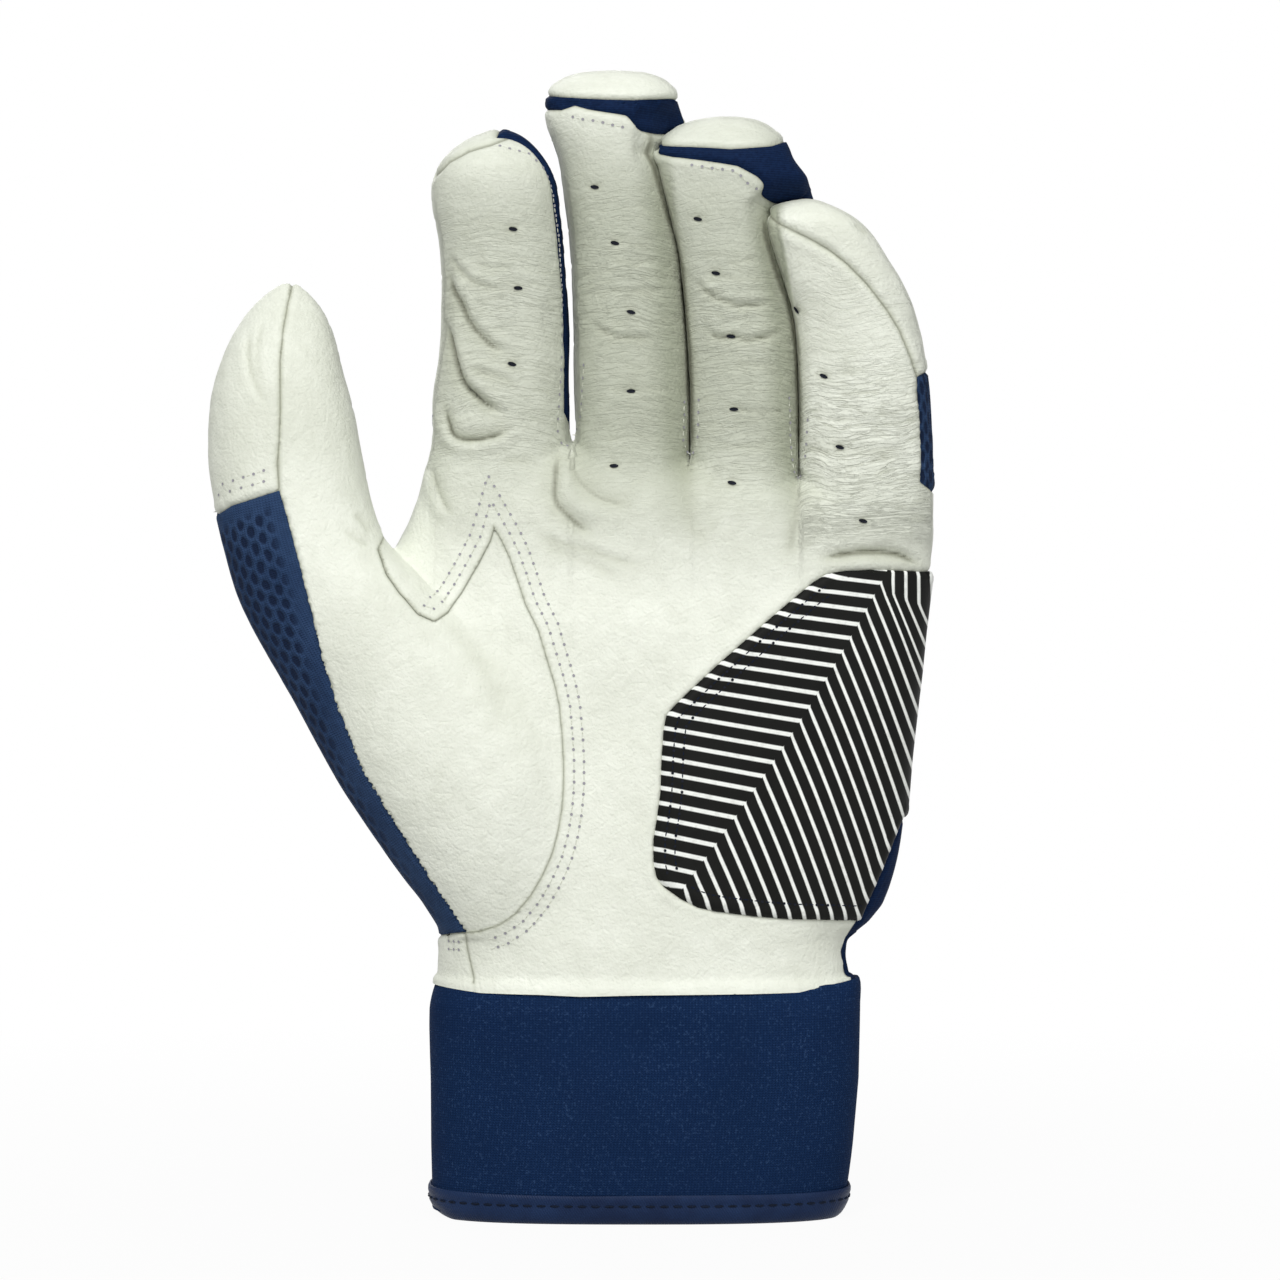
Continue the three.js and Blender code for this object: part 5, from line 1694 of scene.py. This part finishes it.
# grain of leather: fine cells with shallow creases between them, in object space
nodes, given, result = newGroup(
    "leatherGrain", [("Vector", "NodeSocketVector")],
    [("Height", "NodeSocketFloat"), ("Mottle", "NodeSocketFloat")],
)
vector = given["Vector"]
grain = nodes.cells(vector, 1500, "SMOOTH_F1")
pores = nodes.noise(vector, 2600, 3, 0.6)
creases = nodes.cells(vector, 330, "DISTANCE_TO_EDGE")
height = nodes.math("MULTIPLY_ADD", grain, 0.35, nodes.math("MULTIPLY", pores, 0.35))
height = nodes.math("ADD", height, nodes.ramp(creases, 0, 0.12, -0.12, 0.0))
height = nodes.math("MULTIPLY_ADD", nodes.noise(vector, 240, 3, 0.6), 0.9, height)
nodes.feed(result, "Height", height)
broad, small = nodes.noise(vector, 34, 4, 0.6), nodes.noise(vector, 300, 3, 0.6)
mottle = nodes.math("MULTIPLY_ADD", broad, 0.7, nodes.math("MULTIPLY", small, 0.3))
nodes.feed(result, "Mottle", mottle)
leatherGrain = nodes.tree

# fine creases: thin lines along a flow, as strong as the flow's third number
nodes, given, result = newGroup("fineCreases", [("Flow", "NodeSocketVector")], [("Line", "NodeSocketFloat")])
across, along, strength = nodes.split(given["Flow"])
flat = nodes.tree.nodes.new("ShaderNodeCombineXYZ")
nodes.feed(flat, "0", across)
nodes.feed(flat, "1", along)
lines = []
for scale, width in ((0.55, 0.028), (1.3, 0.03)):
    level = nodes.noise(flat.outputs[0], scale, 3, 0.55)
    level = nodes.math("ABSOLUTE", nodes.math("SUBTRACT", level, 0.5))
    lines.append(nodes.ramp(level, 0.0, width, 1.0, 0.0))
both = nodes.math("MAXIMUM", lines[0], nodes.math("MULTIPLY", lines[1], 0.6))
nodes.feed(result, "Line", nodes.math("MULTIPLY", both, strength))
fineCreases = nodes.tree

# staggered oval holes, from millimetres across and along
nodes, given, result = newGroup(
    "ovalMesh", [("Across", "NodeSocketFloat"), ("Along", "NodeSocketFloat")],
    [("Hole", "NodeSocketFloat"), ("Height", "NodeSocketFloat")],
)
ovalForm = {"Across": {"pitch": 4.5, "half": 0.84}, "Along": {"pitch": 3.9, "half": 1.4}}
ovals = []
for offset in (0, 0.5):
    offCentre = []
    for direction, form in ovalForm.items():
        cell = nodes.math("FRACT", nodes.math("MULTIPLY_ADD", given[direction], 1 / form["pitch"], offset))
        cell = nodes.math("SUBTRACT", cell, 0.5)
        offCentre.append(nodes.math("MULTIPLY", cell, form["pitch"] / form["half"]))
    u, v = offCentre
    ovals.append(nodes.math("SQRT", nodes.math("MULTIPLY_ADD", u, u, nodes.math("MULTIPLY", v, v))))
nearest = nodes.math("MINIMUM", ovals[0], ovals[1])
nodes.feed(result, "Hole", nodes.ramp(nearest, 0.75, 1.15, 1.0, 0.0))
nodes.feed(result, "Height", nodes.ramp(nearest, 0.6, 1.7, 0.0, 1.0))
ovalMesh = nodes.tree

# knitted loops, from millimetres across and along
nodes, given, result = newGroup(
    "knitLoops", [("Across", "NodeSocketFloat"), ("Along", "NodeSocketFloat")],
    [("Height", "NodeSocketFloat")],
)
knitForm = {"wale": 0.62, "course": 0.5, "lean": 1.3}
wave = nodes.math("SINE", nodes.math("MULTIPLY", given["Across"], 2 * math.pi / knitForm["wale"]))
lean = nodes.math("MULTIPLY", wave, knitForm["lean"])
course = nodes.math("MULTIPLY_ADD", given["Along"], 2 * math.pi / knitForm["course"], lean)
courses = nodes.math("SINE", course)
loops = nodes.math("MULTIPLY_ADD", courses, 0.3, nodes.math("MULTIPLY_ADD", wave, 0.2, 0.5))
nodes.feed(result, "Height", loops)
knitLoops = nodes.tree


def objectPlace(nodes):
    return nodes.tree.nodes.new("ShaderNodeTexCoord").outputs["Object"]


def clothPlace(nodes):
    return nodes.split(nodes.attribute("cloth", "Vector"))


leather, nodes, shader = newMaterial("softLeather", 0.52, Specular_IOR_Level=0.4)
vector = objectPlace(nodes)
grainOut = useGroup(nodes, leatherGrain, Vector=vector)
fineOut = useGroup(nodes, fineCreases, Flow=nodes.attribute("fine", "Vector"))
fold = nodes.attribute("fold", "Fac")
grey = nodes.attribute("grey", "Fac")
mottle = nodes.ramp(grainOut["Mottle"], 0.4, 0.62, 0.0, 0.28)
colour = nodes.mix(mottle, tones["leather"], tones["leatherShade"])
# painted shade: the fingers' fronts and right sides darker, where less light falls
colour = nodes.mix(nodes.math("MULTIPLY", grey, 0.9), colour, tones["leatherPaintedShade"])
# painted shade in the fine creases
colour = nodes.mix(nodes.math("MULTIPLY", fineOut["Line"], 0.38), colour, tones["leatherShade"])
# painted shade in folds, wrinkles, seams, pits and between pressed fingers, near black in the deepest
colour = nodes.mix(nodes.ramp(fold, 0.02, 0.75, 0.0, 0.75), colour, tones["leatherShade"])
colour = nodes.mix(nodes.ramp(fold, 0.45, 1.0, 0.0, 0.85), colour, tones["leatherDeepShade"])
nodes.feed(shader, "Base Color", colour)
nodes.feed(shader, "Roughness", nodes.ramp(grainOut["Mottle"], 0.3, 0.7, 0.46, 0.6))
height = nodes.math("SUBTRACT", grainOut["Height"], nodes.math("MULTIPLY", fineOut["Line"], 0.4))
bumped(nodes, shader, height, 0.8, 0.36)

airMesh, nodes, shader = newMaterial("airMesh", 0.8, Specular_IOR_Level=0.12)
across, along, fromSeam = clothPlace(nodes)
pulled = nodes.noise(objectPlace(nodes), 420, 2, 0.6)
pulledAcross = nodes.math("MULTIPLY_ADD", pulled, 1.1, across)
pulledAlong = nodes.math("MULTIPLY_ADD", pulled, -0.9, along)
ovalsOut = useGroup(nodes, ovalMesh, Across=pulledAcross, Along=pulledAlong)
pierced = nodes.ramp(fromSeam, 2.2, 4.2, 0.1, 1.0)
loopsOut = useGroup(nodes, knitLoops, Across=across, Along=along)
vector = objectPlace(nodes)
worn = nodes.noise(vector, 90, 2, 0.5)
colour = nodes.mix(nodes.ramp(worn, 0.35, 0.7, 0.0, 0.35), tones["knit"], tones["knitLight"])
# painted shade in the low parts of the knit's loops and in its oval holes
colour = nodes.mix(nodes.ramp(loopsOut["Height"], 0.1, 0.8, 0.45, 0.0), colour, tones["knitShade"])
holes = nodes.math("MULTIPLY", ovalsOut["Hole"], pierced)
colour = nodes.mix(nodes.math("MULTIPLY", holes, 0.85), colour, tones["knitShade"])
nodes.feed(shader, "Base Color", colour)
height = nodes.math("MULTIPLY", loopsOut["Height"], 0.22)
height = nodes.math("MULTIPLY_ADD", ovalsOut["Height"], pierced, height)
bumped(nodes, shader, height, 0.9, 0.6)

stretch, nodes, shader = newMaterial("stretchKnit", 0.75, Specular_IOR_Level=0.06)
vector = objectPlace(nodes)
wales = nodes.tree.nodes.new("ShaderNodeTexWave")
wales.bands_direction = "Z"
wales.inputs["Scale"].default_value = 700
wales.inputs["Distortion"].default_value = 1.5
wales.inputs["Detail Scale"].default_value = 2
nodes.feed(wales, "Vector", vector)
fluff = nodes.noise(vector, 1400, 3, 0.6)
height = nodes.math("MULTIPLY_ADD", fluff, 0.7, nodes.math("MULTIPLY", wales.outputs["Fac"], 0.2))
colour = nodes.mix(nodes.ramp(height, 0.25, 0.75), tones["stretchDark"], tones["stretch"])
nodes.feed(shader, "Base Color", colour)
bumped(nodes, shader, height, 0.5, 0.2)

knitCuff, nodes, shader = newMaterial("wovenElastic", 0.8, Specular_IOR_Level=0.06)
across, along = clothPlace(nodes)[:2]
loopsOut = useGroup(nodes, knitLoops, Across=across, Along=along)
vector = objectPlace(nodes)
fleck = nodes.noise(vector, 1900, 2, 0.7)
broad = nodes.noise(vector, 55, 3, 0.6)
# painted shade in the low parts of the elastic's loops
colour = nodes.mix(nodes.ramp(loopsOut["Height"], 0.15, 0.85, 0.85, 0.0), tones["cuff"], tones["cuffDark"])
colour = nodes.mix(nodes.ramp(fleck, 0.56, 0.68, 0.0, 0.6), colour, tones["cuffFleck"])
colour = nodes.mix(nodes.ramp(broad, 0.35, 0.65, 0.0, 0.3), colour, tones["cuffDark"])
nodes.feed(shader, "Base Color", colour)
bumped(nodes, shader, nodes.math("MULTIPLY_ADD", fleck, 0.4, loopsOut["Height"]), 0.45, 0.16)

tape, nodes, shader = newMaterial("bindingTape", 0.45, Specular_IOR_Level=0.12)
across, along = clothPlace(nodes)[:2]
twillForm = {"across": 0.55, "along": 0.8}
twill = nodes.math("MULTIPLY", along, 2 * math.pi / twillForm["along"])
twill = nodes.math("SINE", nodes.math("MULTIPLY_ADD", across, 2 * math.pi / twillForm["across"], twill))
vector = objectPlace(nodes)
uneven = nodes.noise(vector, 130, 3, 0.6)
colour = nodes.mix(nodes.ramp(uneven, 0.35, 0.65, 0.0, 0.6), tones["binding"], tones["bindingLow"])
colour = nodes.mix(nodes.ramp(twill, -1, 1, 0.3, 0.0), colour, tones["bindingLow"])
nodes.feed(shader, "Base Color", colour)
bumped(nodes, shader, nodes.math("MULTIPLY_ADD", uneven, 1.2, nodes.math("MULTIPLY", twill, 0.2)), 0.4, 0.25)

pile, nodes, shader = newMaterial("hookPile", 0.85, Specular_IOR_Level=0.25, Sheen_Weight=0.04)
vector = objectPlace(nodes)
dots = nodes.cells(vector, 1300)
colour = nodes.mix(nodes.ramp(dots, 0.1, 0.6), tones["hookLight"], tones["hook"])
nodes.feed(shader, "Base Color", colour)
bumped(nodes, shader, dots, 0.9, 0.4)


def threadMaterial(name, roughness, light, dark, **settings):
    material, nodes, shader = newMaterial(name, roughness, **settings)
    twist = nodes.noise(objectPlace(nodes), 3000, 2, 0.5)
    colour = nodes.mix(nodes.ramp(twist, 0.3, 0.7), tones[light], tones[dark])
    nodes.feed(shader, "Base Color", colour)
    bumped(nodes, shader, twist, 0.4, 0.1)
    return material


def holeMaterial(name, low, high, **settings):
    material, nodes, shader = newMaterial(name, 0.9, **settings)
    colour = nodes.mix(nodes.noise(objectPlace(nodes), 1500, 2, 0.5), tones[low], tones[high])
    nodes.feed(shader, "Base Color", colour)
    return material


threadLight = threadMaterial("threadLight", 0.6, "thread", "leatherShade")
threadDark = threadMaterial("threadDark", 0.75, "threadDark", "hook", Specular_IOR_Level=0.12)
needleHole = holeMaterial("needleHole", "hole", "holeSoft")
# painted shade of the hollow inside a punched hole
ventHole = holeMaterial("ventHole", "vent", "hookLight", Specular_IOR_Level=0.1)

patch, nodes, shader = newMaterial("stripedPatch", 0.55, Specular_IOR_Level=0.1)
left, right, mitre = nodes.split(nodes.attribute("stripes", "Vector"))
isLeft = nodes.math("GREATER_THAN", mitre, 0)
# half a stripe's width and its soft edge, as shares of the step between stripes
lineForm = {"left": 0.137, "right": 0.123, "soft": 0.03}
masks = []
for socket, half in ((left, lineForm["left"]), (right, lineForm["right"])):
    offLine = nodes.math("SUBTRACT", nodes.math("FRACT", nodes.math("ADD", socket, 0.5)), 0.5)
    offLine = nodes.math("ABSOLUTE", offLine)
    masks.append(nodes.ramp(offLine, half - lineForm["soft"], half + lineForm["soft"], 1.0, 0.0))
onLeft = nodes.math("MULTIPLY", masks[0], isLeft)
onRight = nodes.math("MULTIPLY", masks[1], nodes.math("SUBTRACT", 1, isLeft))
chosen = nodes.math("ADD", onLeft, onRight)
vector = objectPlace(nodes)
grainOut = useGroup(nodes, leatherGrain, Vector=vector)
worn = nodes.noise(vector, 700, 3, 0.6)
black = nodes.mix(nodes.ramp(grainOut["Mottle"], 0.35, 0.65, 0.0, 0.5), tones["patch"], tones["patchWorn"])
white = nodes.mix(nodes.ramp(worn, 0.5, 0.75, 0.0, 0.4), tones["stripe"], tones["stripeWorn"])
nodes.feed(shader, "Base Color", nodes.mix(chosen, black, white))
bumped(nodes, shader, nodes.math("MULTIPLY_ADD", chosen, 0.5, grainOut["Height"]), 0.3, 0.2)

materials = {
    "leather": leather, "air_mesh": airMesh, "stretch_fabric": stretch, "heel_patch": patch, "binding": tape,
    "cuff_fabric": knitCuff, "hook_and_loop": pile,
}


def paint(piece, material):
    piece.data.materials.clear()
    piece.data.materials.append(material)


def stitchMaterial(group):
    if group.endswith("Vent") or group == "patchNeedle":
        return ventHole
    if group.endswith("Needle"):
        return needleHole
    return threadLight if group.endswith("ThreadLight") else threadDark


for piece in list(panels.values()) + [band, binding] + list(sheets.values()):
    paint(piece, materials[piece["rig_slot"]])
for group, piece in stitches.items():
    paint(piece, stitchMaterial(group))
print("materials set")

# Studio: pale floor, soft key from the upper left, a weak fill
studio = {
    "floor": (0.5, 0.5, 0.5), "floorShade": (0.48, 0.48, 0.48), "floorGlow": 0.95, "world": 0.41,
    "key": (-0.28, -1.1, 1.15), "keySize": 0.9, "keyPower": 17,
    "fill": (0.9, -1.1, 0.35), "fillSize": 1.3, "fillPower": 6,
    "rim": (-0.3, 0.9, 0.7), "rimSize": 0.6, "rimPower": 3,
}


def areaLight(name, place, size, power, towards=(0.01, 0, 0.115)):
    bpy.ops.object.light_add(type="AREA", location=place)
    light = bpy.context.object
    light.name = name
    light.data.shape = "DISK"
    light.data.size = size
    light.data.energy = power
    light.rotation_euler = (Vector(towards) - Vector(place)).to_track_quat("-Z", "Y").to_euler()


for name in ("key", "fill", "rim"):
    areaLight(name + "Light", studio[name], studio[name + "Size"], studio[name + "Power"])
bpy.ops.mesh.primitive_plane_add(size=6, location=(0, 0, 0))
floor = bpy.context.object
floor.name = "studioFloor"
floorMaterial, nodes, shader = newMaterial("studioFloor", 0.9)
vector = objectPlace(nodes)
shade = nodes.mix(nodes.noise(vector, 3, 2, 0.5), studio["floor"], studio["floorShade"])
nodes.feed(shader, "Base Color", shade)
glow = nodes.tree.nodes.new("ShaderNodeEmission")
path = nodes.tree.nodes.new("ShaderNodeLightPath")
seen = nodes.math("MAXIMUM", path.outputs["Is Camera Ray"], path.outputs["Is Glossy Ray"])
away = nodes.tree.nodes.new("ShaderNodeVectorMath")
away.operation = "LENGTH"
nodes.feed(away, "0", vector)
evened = nodes.ramp(away.outputs["Value"], 0.08, 0.4, studio["floorGlow"], 1.0)
both = nodes.tree.nodes.new("ShaderNodeMixShader")
nodes.feed(both, "0", nodes.math("MULTIPLY", seen, evened))
nodes.feed(both, "1", shader.outputs[0])
nodes.feed(both, "2", glow.outputs[0])
output = next(n for n in nodes.tree.nodes if n.type == "OUTPUT_MATERIAL")
nodes.feed(output, "Surface", both.outputs[0])
paint(floor, floorMaterial)

world = bpy.data.worlds.new("studioWorld")
scene.world = world
world.use_nodes = True
nodes = Nodes(world.node_tree)
background = next(n for n in world.node_tree.nodes if n.type == "BACKGROUND")
path = nodes.tree.nodes.new("ShaderNodeLightPath")
background.inputs["Color"].default_value = (1, 1, 1, 1)
strength = nodes.math("MULTIPLY_ADD", path.outputs["Is Camera Ray"], 1 - studio["world"], studio["world"])
nodes.feed(background, "Strength", strength)

scene.view_settings.view_transform = "Standard"

print("scene ready")
